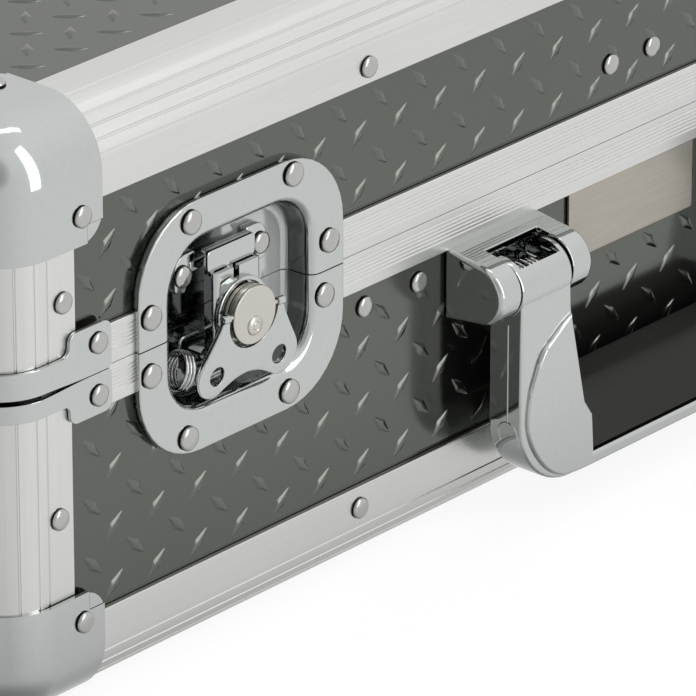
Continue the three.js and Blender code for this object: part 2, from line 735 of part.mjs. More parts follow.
function tubeGeometry(points, radius, sides) {
  const position = [];
  const index = [];
  let across = axisX.clone();
  points.forEach((point, i) => {
    const before = points[Math.max(0, i - 1)];
    const after = points[Math.min(points.length - 1, i + 1)];
    const along = after.clone().sub(before).normalize();
    across = across.clone().addScaledVector(along, -across.dot(along)).normalize();
    const up = along.clone().cross(across);
    for (let k = 0; k < sides; k++) {
      const angle = (Math.PI * 2 * k) / sides;
      const ring = point.clone().addScaledVector(across, radius * Math.cos(angle));
      ring.addScaledVector(up, radius * Math.sin(angle));
      position.push(ring.x, ring.y, ring.z);
    }
  });
  const last = (points.length - 1) * sides;
  for (let i = 0; i < points.length - 1; i++) {
    for (let k = 0; k < sides; k++) {
      const a = i * sides + k;
      const b = i * sides + ((k + 1) % sides);
      index.push(a, b, a + sides, b, b + sides, a + sides);
    }
  }
  for (let k = 1; k < sides - 1; k++) {
    index.push(0, k + 1, k);
    index.push(last, last + k, last + k + 1);
  }
  const geometry = new THREE.BufferGeometry();
  geometry.setAttribute("position", new THREE.Float32BufferAttribute(position, 3));
  geometry.setIndex(index);
  geometry.computeVertexNormals();
  return geometry;
}

const latchFront = -halfDepth - flangeFront;
const coil = springPath();
console.log("least gap between the spring's turns: " + springGap(coil).toFixed(2) + " mm");
for (const [side, sign] of [["left", -1], ["right", 1]]) {
  const latch = new THREE.Group();
  latch.position.set(sign * latchMiddle, latchFront, 0);
  body.add(latch);
  const dish = dishHalf();
  addPiece(latch, side + "_latch_upper_dish", dish, chrome);
  const lower = addPiece(latch, side + "_latch_lower_dish", dish, chrome);
  lower.geometry = geometryOf(join(solidOf(lower.geometry.clone().scale(1, 1, -1)
    .setIndex(flipped(lower.geometry))), axleAndLugs()));
  addPiece(latch, side + "_latch_arm", arm(), chrome);
  addPiece(latch, side + "_latch_hook", hook(), chrome);
  addPiece(latch, side + "_latch_keeper", keeper(), chrome);
  const turning = new THREE.Group();
  turning.position.z = rotorHeight;
  turning.rotation.y = THREE.MathUtils.degToRad(rotorRest);
  latch.add(turning);
  addPiece(turning, side + "_latch_rotor", rotor(), satinNickel);
  const fold = addPiece(turning, side + "_latch_wing", wing(), chrome);
  fold.position.set(0, discFront + discThickness / 2, wingPinHeight - rotorHeight);
  fold.rotation.x = THREE.MathUtils.degToRad(wingTilt);
  const spring = new THREE.Mesh(tubeGeometry(coil, springWire / 2, wireSides), springSteel);
  spring.name = side + "_latch_spring";
  latch.add(spring);
}

function flipped(geometry) {
  const turned = Array.from(geometry.index.array);
  for (let i = 0; i < turned.length; i += 3) {
    [turned[i + 1], turned[i + 2]] = [turned[i + 2], turned[i + 1]];
  }
  return turned;
}

// The handle's bracket: a hollow casting on the board with two round-nosed ears and the pin between them.
function bracket() {
  const half = bracketWidth / 2;
  const nose = bracketHeight / 2;
  const side = roundedRectangle(-pivotReach - nose, -seatGap, -nose, nose, [nose, 0, 0, nose]);
  const solid = prism(side, "x", -half, half, 8);
  const gap = half - earWidth;
  const front = -pivotReach - nose - overrun;
  const hollow = outline([
    [front, -nose - overrun],
    [-seatGap - bracketWall, -nose - overrun],
    [-seatGap - bracketWall, nose - webThickness],
    [-bracketWeb, nose - webThickness],
    [-bracketWeb, nose + overrun],
    [front, nose + overrun],
  ]);
  const window = prism(hollow, "x", -gap, gap);
  const pin = rod(handlePinRadius, "x", -gap - padDepth, gap + padDepth, -pivotReach, 0, 6);
  return join(cut(solid, window), pin);
}

const pivotDrop = bracketDrop + bracketHeight / 2;
const eyeRadius = bracketHeight / 2 - eyeInset;
const legFront = -pivotReach - eyeRadius;
const legStraight = -bracketHeight / 2 - seatGap;
const gripLow = pivotDrop - handleBottom + barHeight;
const gripFootRun = handleSpan / 2 + legWidth / 2 - legFoot;

// The bow in heights above its pivot: two legs that widen into feet, joined by a bar under the grip.
function bow() {
  const outer = handleSpan / 2 + legWidth / 2;
  const inner = outer - legWidth;
  const low = pivotDrop - handleBottom;
  const shoulder = outer - legShoulder;
  const foot = gripFootRun;
  const shape = new THREE.Shape();
  shape.moveTo(-outer, 0);
  shape.lineTo(-outer, low + handleCorner);
  shape.absarc(-outer + handleCorner, low + handleCorner, handleCorner, Math.PI, Math.PI * 1.5);
  shape.lineTo(outer - handleCorner, low);
  shape.absarc(outer - handleCorner, low + handleCorner, handleCorner, -Math.PI / 2, 0);
  shape.lineTo(outer, 0);
  shape.lineTo(inner, 0);
  shape.lineTo(inner, legStraight);
  shape.lineTo(shoulder, gripLow + gripHeight);
  shape.lineTo(shoulder, gripLow + footRise);
  shape.lineTo(foot, gripLow + footRise);
  shape.lineTo(foot, gripLow);
  shape.lineTo(-foot, gripLow);
  shape.lineTo(-foot, gripLow + footRise);
  shape.lineTo(-shoulder, gripLow + footRise);
  shape.lineTo(-shoulder, gripLow + gripHeight);
  shape.lineTo(-inner, legStraight);
  shape.lineTo(-inner, 0);
  const plate = prism(shape, "y", legFront, legFront + legThickness, 6);
  const noses = [];
  const cheeks = [];
  const hollows = [];
  for (const [from, to] of [[-outer, -inner], [inner, outer]]) {
    const shell = block(from, to, legFront - overrun, legFront + legShell, 0, eyeRadius + overrun);
    noses.push(rod(eyeRadius, "x", from, to, -pivotReach, 0, 10).intersect(shell));
    cheeks.push(rod(cheekRadius, "x", from, from + cheekWidth, -pivotReach, 0, 6));
    cheeks.push(rod(cheekRadius, "x", to - cheekWidth, to, -pivotReach, 0, 6));
    hollows.push(block(from + cheekWidth, to - cheekWidth, legFront + legShell, 0, -hollowDrop, overrun));
  }
  const bores = rod(handlePinRadius + seatGap, "x", -outer - overrun, outer + overrun, -pivotReach, 0, 6);
  return cut(join(cut(plate, ...hollows), ...noses, ...cheeks), bores);
}

function grip() {
  const run = gripFootRun - seatGap;
  const low = gripLow + seatGap;
  const front = legFront + seatGap;
  const section = roundedRectangle(front, front + gripDepth, low, low + gripHeight,
    [gripFrontCorner, gripCorner, gripCorner, gripCorner]);
  const shoulder = handleSpan / 2 + legWidth / 2 - legShoulder - seatGap;
  const over = gripLow + footRise + seatGap;
  const step = (s) => {
    const [from, to] = [s * run, s * (shoulder + overrun)].sort((a, b) => a - b);
    return block(from, to, front - overrun, front + gripDepth + overrun, over - overrun - gripHeight, over);
  };
  return cut(prism(section, "x", -shoulder, shoulder, 4), step(-1), step(1));
}

const handle = new THREE.Group();
handle.position.set(0, -halfDepth + boardOuter, -pivotDrop);
body.add(handle);
for (const [side, sign] of [["left", -1], ["right", 1]]) {
  addPiece(handle, "handle_" + side + "_bracket", bracket(), chrome).position.x = (sign * handleSpan) / 2;
}
addPiece(handle, "handle_bow", bow(), chrome);
addPiece(handle, "handle_grip", grip(), softGrip);

const plateShape = roundedRectangle(-plateWidth / 2, plateWidth / 2, -plateDrop - plateHeight, -plateDrop,
  Array(4).fill(plateCorner));
const plateBack = -halfDepth + boardOuter - seatGap;
addPiece(body, "name_plate", prism(plateShape, "y", plateBack - plateThickness, plateBack, 2), brushedPlate);

// The piano hinge lies on the back faces of the two rims, with its pin on the parting line.
const pinY = halfDepth + seatGap + knuckleRadius;
const knuckleRun = hingeLength / knuckleCount;

function knuckle(i, radius, grow) {
  const from = -hingeLength / 2 + i * knuckleRun;
  return rod(radius, "x", from - grow, from + knuckleRun + grow, pinY, 0, knuckleSides / 2);
}

function leaf(first) {
  const back = halfDepth + seatGap;
  let solid = block(-hingeLength / 2, hingeLength / 2, back, back + leafThickness, partingHalf,
    partingHalf + leafHeight);
  for (let i = 0; i < knuckleCount; i++) {
    if (i % 2 === first) solid = solid.add(knuckle(i, knuckleRadius, -knuckleGap / 2));
    else solid = solid.subtract(knuckle(i, knuckleRadius + seatGap, knuckleGap / 2));
  }
  return solid.subtract(rod(hingePinRadius + seatGap, "x", -halfWidth, halfWidth, pinY, 0, 4));
}

addPiece(body, "hinge_lid_leaf", leaf(1), satinAluminium);
addPiece(body, "hinge_base_leaf", leaf(0), satinAluminium, { z: true });
addPiece(body, "hinge_pin", rod(hingePinRadius, "x", -hingeLength / 2, hingeLength / 2, pinY, 0, 4),
  satinAluminium);

export default root;
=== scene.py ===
# The looks of an aluminium tool case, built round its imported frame.
import math

import bmesh
import bpy
from mathutils import Matrix, Vector
from mathutils.geometry import tessellate_polygon


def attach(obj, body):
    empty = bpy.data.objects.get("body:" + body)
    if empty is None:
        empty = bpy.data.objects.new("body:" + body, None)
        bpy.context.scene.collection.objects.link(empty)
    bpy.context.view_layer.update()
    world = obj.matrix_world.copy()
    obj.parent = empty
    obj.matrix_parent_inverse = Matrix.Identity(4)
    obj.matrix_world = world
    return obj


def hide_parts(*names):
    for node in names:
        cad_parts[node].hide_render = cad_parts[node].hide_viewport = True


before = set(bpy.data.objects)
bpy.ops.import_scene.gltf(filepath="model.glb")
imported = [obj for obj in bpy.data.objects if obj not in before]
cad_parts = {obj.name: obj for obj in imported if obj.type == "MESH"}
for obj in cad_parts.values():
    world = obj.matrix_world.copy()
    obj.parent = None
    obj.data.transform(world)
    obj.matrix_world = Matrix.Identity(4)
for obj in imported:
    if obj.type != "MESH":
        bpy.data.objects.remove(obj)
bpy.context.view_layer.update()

# The studio: a pale floor that runs out to white, plain soft light from all round, one tall soft box in
# front and two small ones overhead. The camera stands at the photograph's angle.
MM = 0.001
view_azimuth = math.radians(-48.4)
view_elevation = math.radians(24.2)
view_target = Vector((-132.1, -183.65, 76.2)) * MM
view_distance = 2160 * MM
toward_camera = Vector((
    math.sin(view_azimuth) * math.cos(view_elevation),
    -math.cos(view_azimuth) * math.cos(view_elevation),
    math.sin(view_elevation),
))


def stand(name, data):
    """A new object in the scene."""
    thing = bpy.data.objects.new(name, data)
    bpy.context.collection.objects.link(thing)
    return thing


camera_data = bpy.data.cameras.new("camera")
camera_data.sensor_width = 36
camera_data.lens = 382.76
camera_data.clip_start = 0.05
camera_data.clip_end = 60
camera = stand("camera", camera_data)
camera.location = view_target + toward_camera * view_distance
camera.rotation_euler = (-toward_camera).to_track_quat("-Z", "Y").to_euler()
bpy.context.scene.camera = camera
bpy.context.scene.view_settings.view_transform = "Standard"


def feed(tree, socket, value):
    """Links a socket to another node's output, or gives it a plain value."""
    if isinstance(value, bpy.types.NodeSocket):
        tree.links.new(value, socket)
    else:
        socket.default_value = value


def add_node(tree, kind, fed=(), **settings):
    node = tree.nodes.new(kind)
    for key, value in settings.items():
        setattr(node, key, value)
    for key, value in dict(fed).items():
        feed(tree, node.inputs[key], value)
    return node


def do_math(tree, operation, *values, clamp=False):
    return add_node(tree, "ShaderNodeMath", enumerate(values), operation=operation,
                    use_clamp=clamp).outputs[0]


def smooth_step(tree, value, low, high):
    fed = {"Value": value, "From Min": low, "From Max": high}
    return add_node(tree, "ShaderNodeMapRange", fed, interpolation_type="SMOOTHSTEP").outputs["Result"]


def place_of(tree, system="Object"):
    """A point's place and its three coordinates."""
    place = add_node(tree, "ShaderNodeTexCoord").outputs[system]
    return place, add_node(tree, "ShaderNodeSeparateXYZ", {0: place}).outputs


def clear_tree(owner):
    owner.use_nodes = True
    owner.node_tree.nodes.clear()
    return owner.node_tree


def grey(tree, kind, level, **fed):
    """A plain shader of one grey."""
    return add_node(tree, "ShaderNode" + kind, {"Color": (level, level, level, 1), **fed}).outputs[0]


def by_ray(tree, lit, mirrored, shown):
    """One shader for plain light, one for what metal mirrors and one for what the camera sees."""
    path = add_node(tree, "ShaderNodeLightPath").outputs
    mirror = do_math(tree, "MAXIMUM", path["Is Glossy Ray"], path["Is Transmission Ray"])
    first = add_node(tree, "ShaderNodeMixShader", {0: mirror, 1: lit, 2: mirrored}).outputs[0]
    return add_node(tree, "ShaderNodeMixShader", {0: path["Is Camera Ray"], 1: first, 2: shown}).outputs[0]


def light_the_room():
    """Metal sees a room that is brightest to the front right, and dark behind the camera and right under
    the case."""
    bpy.context.scene.world = bpy.data.worlds.new("studio")
    tree = clear_tree(bpy.context.scene.world)
    direction, axes = place_of(tree, "Generated")
    front_right, camera_side = [add_node(tree, "ShaderNodeVectorMath",
                                         {0: direction, 1: Vector(aim).normalized()},
                                         operation="DOT_PRODUCT").outputs["Value"]
                                for aim in ((0.85, -0.53, 0), (-0.72, -0.56, 0.42))]
    bright = smooth_step(tree, front_right, -0.55, 0.8)
    behind = do_math(tree, "MULTIPLY", smooth_step(tree, camera_side, 0.84, 0.98), 0.4)
    down = do_math(tree, "MULTIPLY", axes["Z"], -1)
    below = do_math(tree, "MULTIPLY", smooth_step(tree, down, 0.62, 0.97), 0.5)
    above = smooth_step(tree, axes["Z"], 0.1, 0.9)
    open_room = do_math(tree, "SUBTRACT", 1, do_math(tree, "MAXIMUM", behind, below), clamp=True)
    glow = do_math(tree, "MULTIPLY_ADD", bright, 0.21, do_math(tree, "MULTIPLY_ADD", above, 0.10, 0.77))
    surface = by_ray(tree,
                     grey(tree, "Background", 0.48, Strength=do_math(tree, "MULTIPLY_ADD", above, 0.25, 1)),
                     grey(tree, "Background", 1, Strength=do_math(tree, "MULTIPLY", open_room, glow)),
                     grey(tree, "Background", 1))
    add_node(tree, "ShaderNodeOutputWorld", {"Surface": surface})


light_the_room()
for light_name, light_place, light_aim, light_width, light_height, watts in (
    ("soft_box_front", (0.66, -2.75, 1.55), (-0.15, -0.1, 1.0), 1.0, 4.0, 27),
    ("soft_box_above_right", (0.95, -0.30, 2.35), (0, 0, 0.1), 0.30, 0.7, 1.6),
    ("soft_box_above_left", (0.35, -0.15, 2.55), (0, 0, 0.1), 0.30, 0.7, 1.6),
):
    light_data = bpy.data.lights.new(light_name, "AREA")
    light_data.shape = "RECTANGLE"
    light_data.size, light_data.size_y, light_data.energy = light_width, light_height, watts
    light = stand(light_name, light_data)
    light.location = light_place
    light.rotation_euler = (Vector(light_aim) - Vector(light_place)).to_track_quat("-Z", "Y").to_euler()


def as_mesh(name, bm):
    """The bmesh as a mesh. The bmesh itself is gone."""
    mesh = bpy.data.meshes.new(name)
    bm.to_mesh(mesh)
    bm.free()
    return mesh


def paint_floor(under_case):
    """White to the camera, grey to the case's underside, and clear to mirrors, with a shade under the
    case."""
    paint = bpy.data.materials.new("pale_floor")
    tree = clear_tree(paint)
    axes = place_of(tree)[1]
    beyond = [do_math(tree, "SUBTRACT", do_math(tree, "ABSOLUTE", axes[k]), under_case[k]) for k in (0, 1)]
    shade = smooth_step(tree, do_math(tree, "MAXIMUM", *beyond), -0.02, 0.10)
    tint = do_math(tree, "MULTIPLY_ADD", shade, 0.28, 0.72)
    clear = add_node(tree, "ShaderNodeBsdfTransparent", {"Color": tint}).outputs[0]
    glow = {0: grey(tree, "BsdfDiffuse", 0.22), 1: grey(tree, "Emission", 0.87)}
    shown = add_node(tree, "ShaderNodeAddShader", glow)
    surface = by_ray(tree, grey(tree, "BsdfDiffuse", 0.54), clear, shown.outputs[0])
    add_node(tree, "ShaderNodeOutputMaterial", {"Surface": surface})
    return paint


floor_mesh = bmesh.new()
bmesh.ops.create_grid(floor_mesh, x_segments=1, y_segments=1, size=9)
floor = stand("floor", as_mesh("floor", floor_mesh))
floor.data.materials.append(paint_floor((0.275, 0.190)))

# The ten boards: plywood faced outside with a dark metallic laminate and lined inside with black cloth.
# They slide into the slots of the extrusions.


def make_grain_group():
    """Noise for every finish: a fine grain, stretched where metal is drawn or brushed, and broad smudges."""
    group = bpy.data.node_groups.new("grain_and_smudge", "ShaderNodeTree")
    for label, kind, value in (("Vector", "Vector", (0, 0, 0)), ("Stretch", "Vector", (1, 1, 1)),
                               ("Grain Scale", "Float", 900), ("Smudge Scale", "Float", 14)):
        socket = group.interface.new_socket(label, in_out="INPUT", socket_type="NodeSocket" + kind)
        socket.default_value = value
    for label in ("Grain", "Smudge"):
        group.interface.new_socket(label, in_out="OUTPUT", socket_type="NodeSocketFloat")
    entry = group.nodes.new("NodeGroupInput").outputs
    stretched = add_node(group, "ShaderNodeVectorMath", {0: entry["Vector"], 1: entry["Stretch"]},
                         operation="MULTIPLY").outputs[0]
    fine = add_node(group, "ShaderNodeTexNoise",
                    {"Vector": stretched, "Scale": entry["Grain Scale"], "Detail": 3, "Roughness": 0.6})
    broad = add_node(group, "ShaderNodeTexNoise",
                     {"Vector": entry["Vector"], "Scale": entry["Smudge Scale"], "Detail": 2})
    add_node(group, "NodeGroupOutput", {"Grain": fine.outputs[0], "Smudge": broad.outputs[0]})
    return group


grain_and_smudge = make_grain_group()


def span(tree, value, low, high):
    """Spreads the values that noise mostly has over a range."""
    fed = {"Value": value, "From Min": 0.3, "From Max": 0.7, "To Min": low, "To Max": high}
    return add_node(tree, "ShaderNodeMapRange", fed).outputs["Result"]


def blend_colors(tree, factor, first, second):
    first, second = ((*color, 1) if isinstance(color, tuple) else color for color in (first, second))
    return add_node(tree, "ShaderNodeMix", {"Factor": factor, 6: first, 7: second},
                    data_type="RGBA").outputs[2]


def make_finish(name, color, roughness, metallic=1.0, stretch=(1, 1, 1), grain_scale=900, smudge_scale=14,
                tone=0.04, unevenness=0.03, relief=0.0):
    """A finish with fine grain in its colour and relief, and broad smudges in its gloss."""
    finish = bpy.data.materials.new(name)
    finish.use_nodes = True
    tree = finish.node_tree
    shader = tree.nodes["Principled BSDF"].inputs
    place = add_node(tree, "ShaderNodeTexCoord").outputs["Object"]
    fed = {"Vector": place, "Stretch": stretch, "Grain Scale": grain_scale, "Smudge Scale": smudge_scale}
    grain, smudge = add_node(tree, "ShaderNodeGroup", fed, node_tree=grain_and_smudge).outputs
    darker = tuple(c * (1 - tone) for c in color)
    lighter = tuple(min(1, c * (1 + tone)) for c in color)
    mottle = do_math(tree, "MULTIPLY_ADD", smudge, 0.5, do_math(tree, "MULTIPLY", grain, 0.5))
    feed(tree, shader["Base Color"], blend_colors(tree, span(tree, mottle, 0, 1), darker, lighter))
    feed(tree, shader["Roughness"], span(tree, smudge, roughness - unevenness, roughness + unevenness))
    shader["Metallic"].default_value = metallic
    if relief:
        bump = add_node(tree, "ShaderNodeBump", {"Strength": 0.5, "Distance": relief, "Height": grain})
        feed(tree, shader["Normal"], bump.outputs[0])
    return finish


def open_finish(finish):
    """A finish's tree, its shader's sockets, and the colour and gloss that feed them."""
    shader = finish.node_tree.nodes["Principled BSDF"].inputs
    color, gloss = (shader[label].links[0].from_socket for label in ("Base Color", "Roughness"))
    return finish.node_tree, shader, color, gloss


case_half_width = 275
case_half_depth = 190
case_half = (case_half_width, case_half_depth)
centre_y = 7.85
parting = 105.2
board_outer = 1.8
# Each half's way from the parting and its height, and each side's axis and the way it faces along the other.
halves = {"base": (-1, 103.5), "lid": (1, 77.5)}
sides = {"front": (0, -1), "back": (0, 1), "left": (1, -1), "right": (1, 1)}
laminate = make_finish("dark_metallic_laminate", (0.124, 0.131, 0.118), 0.12, metallic=0.92, grain_scale=2600,
                       smudge_scale=9, tone=0.06, relief=0.00001)


def line_the_inside():
    """Mixes black lining cloth into the laminate behind the boards' outer faces."""
    tree, shader, color, gloss = open_finish(laminate)
    place, axes = place_of(tree)
    low, high = parting - halves["base"][1], parting + halves["lid"][1]
    skin = board_outer + 1
    from_middle = do_math(tree, "SUBTRACT", axes["Y"], centre_y * MM)
    tests = [do_math(tree, "LESS_THAN", do_math(tree, "ABSOLUTE", axes["X"]), (case_half_width - skin) * MM),
             do_math(tree, "LESS_THAN", do_math(tree, "ABSOLUTE", from_middle),
                     (case_half_depth - skin) * MM),
             do_math(tree, "GREATER_THAN", axes["Z"], (low + skin) * MM),
             do_math(tree, "LESS_THAN", axes["Z"], (high - skin) * MM)]
    across, upright = (do_math(tree, "MULTIPLY", *pair) for pair in (tests[:2], tests[2:]))
    inside = do_math(tree, "MULTIPLY", across, upright)
    weave = add_node(tree, "ShaderNodeTexNoise", {"Vector": place, "Scale": 1500}).outputs[0]
    cloth = blend_colors(tree, span(tree, weave, 0, 1), (0.012, 0.012, 0.013), (0.035, 0.035, 0.036))
    feed(tree, shader["Base Color"], blend_colors(tree, inside, color, cloth))
    feed(tree, shader["Roughness"], do_math(tree, "MULTIPLY_ADD", inside, 0.75, gloss, clamp=True))
    feed(tree, shader["Metallic"], do_math(tree, "MULTIPLY_ADD", inside, -0.92, 0.92, clamp=True))


line_the_inside()
side_boards = [f"{half}_{side}_board" for half in halves for side in sides]
for board_name in side_boards + ["base_floor_board", "lid_top_board"]:
    for material_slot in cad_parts[board_name].material_slots:
        material_slot.material = laminate

# The tread on the boards: low lens-shaped studs embossed in the laminate in a chequer, each leaning one way
# or the other at half a right angle.
stud_pitch = 17.73
stud_length = 10.6
stud_breadth = 3.3
stud_rise = 0.62
post_cover = 30
face_width = 27
latch_middle = 177.85
latch_clear = (37, 32.5)


def dress_mesh(name, mesh, material, body, replaced=None, sharp=30):
    """A piece with its finish, shaded smooth up to an angle, that rides on a body of the case."""
    mesh.materials.clear()
    mesh.materials.append(material)
    mesh.polygons.foreach_set("use_smooth", [True] * len(mesh.polygons))
    mesh.set_sharp_from_angle(angle=math.radians(sharp))
    piece = stand(name, mesh)
    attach(piece, body)
    if replaced:
        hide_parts(replaced)
    return piece


def finish_piece(name, bm, material, body, replaced=None, sharp=30):
    """Turns a closed bmesh in millimetres into a piece."""
    bmesh.ops.remove_doubles(bm, verts=bm.verts, dist=0.0005)
    bmesh.ops.scale(bm, vec=(MM, MM, MM), verts=bm.verts)
    bmesh.ops.recalc_face_normals(bm, faces=bm.faces)
    piece = dress_mesh(name, as_mesh(name, bm), material, body, replaced, sharp)
    piece.modifiers.new("weighed_normals", "WEIGHTED_NORMAL").keep_sharp = True


def baked(thing, tools=()):
    """The mesh that an object's modifiers make. The object and its tools are gone."""
    bpy.context.view_layer.update()
    done = bpy.data.meshes.new_from_object(thing.evaluated_get(bpy.context.evaluated_depsgraph_get()))
    for used in (thing, *tools):
        bpy.data.objects.remove(used)
    return done


def make_setting_tree():
    """A tree that sets one part on every point, turned and sized by the point's own values, as one plain
    mesh."""
    tree = bpy.data.node_groups.new("set_parts_on_points", "GeometryNodeTree")
    for label, kind in (("Points", "Geometry"), ("Part", "Object")):
        tree.interface.new_socket(label, in_out="INPUT", socket_type="NodeSocket" + kind)
    tree.interface.new_socket("Geometry", in_out="OUTPUT", socket_type="NodeSocketGeometry")
    entry = tree.nodes.new("NodeGroupInput").outputs
    out, along, size = (add_node(tree, "GeometryNodeInputNamedAttribute", {"Name": label},
                                 data_type=kind).outputs["Attribute"]
                        for label, kind in (("out", "FLOAT_VECTOR"), ("along", "FLOAT_VECTOR"),
                                            ("size", "FLOAT")))
    part = add_node(tree, "GeometryNodeObjectInfo", {"Object": entry["Part"]}).outputs["Geometry"]
    turn = add_node(tree, "FunctionNodeAxesToRotation", {0: out, 1: along}).outputs[0]
    setting = add_node(tree, "GeometryNodeInstanceOnPoints",
                       {"Points": entry["Points"], "Instance": part, "Rotation": turn, "Scale": size})
    whole = add_node(tree, "GeometryNodeRealizeInstances", {0: setting.outputs[0]})
    add_node(tree, "NodeGroupOutput", {0: whole.outputs[0]})
    return tree


setting_tree = make_setting_tree()


def set_on_points(name, points, part, material, body, sharp=40):
    """Sets a part on points given as (place, out, along, size), in millimetres."""
    mesh = bpy.data.meshes.new(name)
    mesh.from_pydata([Vector(p[0]) * MM for p in points], [], [])
    for label, index in (("out", 1), ("along", 2)):
        attribute = mesh.attributes.new(label, "FLOAT_VECTOR", "POINT")
        attribute.data.foreach_set("vector", [c for p in points for c in p[index]])
    mesh.attributes.new("size", "FLOAT", "POINT").data.foreach_set("value", [p[3] for p in points])
    carrier = stand(name + "_points", mesh)
    modifier = carrier.modifiers.new("setting", "NODES")
    modifier.node_group = setting_tree
    modifier[setting_tree.interface.items_tree["Part"].identifier] = part
    done = baked(carrier)
    for label in [a.name for a in done.attributes if a.name in ("out", "along", "size")]:
        done.attributes.remove(done.attributes[label])
    done.name = name
    dress_mesh(name, done, material, body, sharp=sharp)


def make_stud():
    """One stud: widest in its middle, and pointed at both ends."""
    bm = bmesh.new()
    stations, across = 12, (-1, -0.5, 0, 0.5, 1)
    rows = []
    for i in range(stations + 1):
        t = -1 + 2 * i / stations
        lens = (1 - t * t) ** 0.85
        waist = math.exp(-(t / 0.26) ** 2)
        width = stud_breadth / 2 * (0.8 * lens + 0.34 * waist + 0.02)
        rise = stud_rise * (0.95 * lens ** 0.7 + 0.08 * waist)
        rows.append([bm.verts.new((t * stud_length / 2, a * width, rise * (1 - abs(a) ** 1.4) - 0.05))
                     for a in across])
    for low, high in zip(rows, rows[1:]):
        for j in range(len(across) - 1):
            bm.faces.new((low[j], high[j], high[j + 1], low[j + 1]))
    bmesh.ops.scale(bm, vec=(MM, MM, MM), verts=bm.verts)
    return stand("stud", as_mesh("stud", bm))


def stud_points(run, rise, place, out, blocked=(), shift=(0, 0), row_pitch=stud_pitch, row_slope=0):
    """Stud centres on a board's face. run and rise are unit axes along it, with their lowest and highest
    values."""
    (run_axis, run_low, run_high), (rise_axis, rise_low, rise_high) = run, rise
    points = []
    for lean in (1, -1):
        start = 0 if lean == 1 else 0.5
        for i in range(-40, 41):
            for j in range(-40, 41):
                u = (i + start) * stud_pitch + shift[0]
                v = (j + start) * row_pitch + shift[1] + row_slope * u
                if not (run_low < u < run_high and rise_low < v < rise_high):
                    continue
                if any(abs(u - m) < a and abs(v - n) < b for m, n, a, b in blocked):
                    continue
                along = (run_axis + rise_axis * lean).normalized()
                points.append((place + run_axis * u + rise_axis * v, out, along, 1.0))
    return points


stud = make_stud()
# The studs' crowns are coloured a little lighter and made a little rougher than the laminate.
stud_crown = make_finish("lighter_stud_crowns", (0.142, 0.149, 0.136), 0.18, metallic=0.92, grain_scale=2600,
                         smudge_scale=60, tone=0.10, unevenness=0.05)
X, Y, Z = Vector((1, 0, 0)), Vector((0, 1, 0)), Vector((0, 0, 1))
case_middle = Vector((0, centre_y, parting))
stud_reach = stud_length / 2 * 0.72
rim_height = 12.4
front_shift = {"base": (1.6, 4.1), "lid": (0.4, -1.6)}
front_row_pitch = 18.3
front_row_slope = {"base": 0.0094, "lid": 0}
for half, (sign, height) in halves.items():
    low, high = sorted((sign * (rim_height + stud_reach), sign * (height - face_width - stud_reach)))
    runs = [(axis, post_cover + stud_reach - reach, reach - post_cover - stud_reach)
            for axis, reach in zip((X, Y), case_half)]
    openings = [(s * latch_middle, 0, *latch_clear) for s in (-1, 1)]
    for side, (axis, facing) in sides.items():
        out = (Y, X)[axis] * facing
        own = (openings, front_shift[half], front_row_pitch, front_row_slope[half]) if side == "front" else ()
        face = case_middle + out * (case_half[1 - axis] - board_outer)
        points = stud_points(runs[axis], (Z, low, high), face, out, *own)
        set_on_points(f"{half}_{side}_tread", points, stud, stud_crown, half)
    points = stud_points(*runs, case_middle + Z * sign * (height - board_outer), Z * sign)
    set_on_points(f"{half}_flat_tread", points, stud, stud_crown, half)
bpy.data.objects.remove(stud)

# The edge and corner extrusions: drawn aluminium with a rounded, grooved back, mitred where three of them
# meet under a ball corner. A slot behind each face holds a board.
edge_radius = 16
groove_width = 0.9
groove_depth = 0.28
slot_near = 1.5
slot_far = 11.1
inner_face = 12.6
slot_floor = 17
seat_gap = 0.3
post_end = 3.2
post_shy = 0.03
corners = {"front_left": (-1, -1), "front_right": (1, -1), "back_left": (-1, 1), "back_right": (1, 1)}
drawn_along = [make_finish(f"aluminium_drawn_along_{axis}", (0.66, 0.665, 0.645), 0.30, stretch=stretch,
                           grain_scale=1000, smudge_scale=7, tone=0.05, unevenness=0.04, relief=0.000012)
               for axis, stretch in (("x", (0.02, 1, 1)), ("y", (1, 0.02, 1)), ("z", (1, 1, 0.02)))]


def at_side(side, along, inward, z):
    """A place at a side of the case: along it from its middle, in from its face, and at a height."""
    axis, facing = sides[side]
    place = [0, centre_y, z]
    place[axis] += along
    place[1 - axis] += facing * (case_half[1 - axis] - inward)
    return place


def edge_section(lip, grooves, flat_groove=0):
    """The extrusion's section, as distances in from its two outside faces. The outer lips reach as far as
    lip, and the grooves stand at angles round the back, with one more on each face where the section has
    it."""
    half = math.asin(groove_width / 2 / edge_radius)
    flat = [(lip, 0.5), (lip - 0.15, 0.15), (lip - 0.5, 0)]
    if flat_groove:
        flat += [(flat_groove + 0.45, 0), (flat_groove + 0.2, groove_depth),
                 (flat_groove - 0.2, groove_depth), (flat_groove - 0.45, 0)]
    inside = [(slot_near, lip), (slot_near, slot_floor), (slot_far, slot_floor), (slot_far, face_width),
              (inner_face, face_width)]

    def on_arc(angle, radius):
        return edge_radius - radius * math.sin(angle), edge_radius - radius * math.cos(angle)

    def other_face(line):
        return [(b, a) for a, b in reversed(line)]

    points = flat + [on_arc(0, edge_radius)]
    reached = 0
    for groove in grooves:
        angle = math.radians(groove)
        points += [on_arc(reached + (angle - half - reached) * k / 4, edge_radius) for k in (1, 2, 3, 4)]
        points += [on_arc(angle + side * half * 0.45, edge_radius - groove_depth) for side in (-1, 1)]
        reached = angle + half
        points.append(on_arc(reached, edge_radius))
    points += [on_arc(reached + (math.pi / 2 - reached) * k / 3, edge_radius) for k in (1, 2, 3)]
    return points + other_face(flat) + inside + [(inner_face, inner_face)] + other_face(inside)


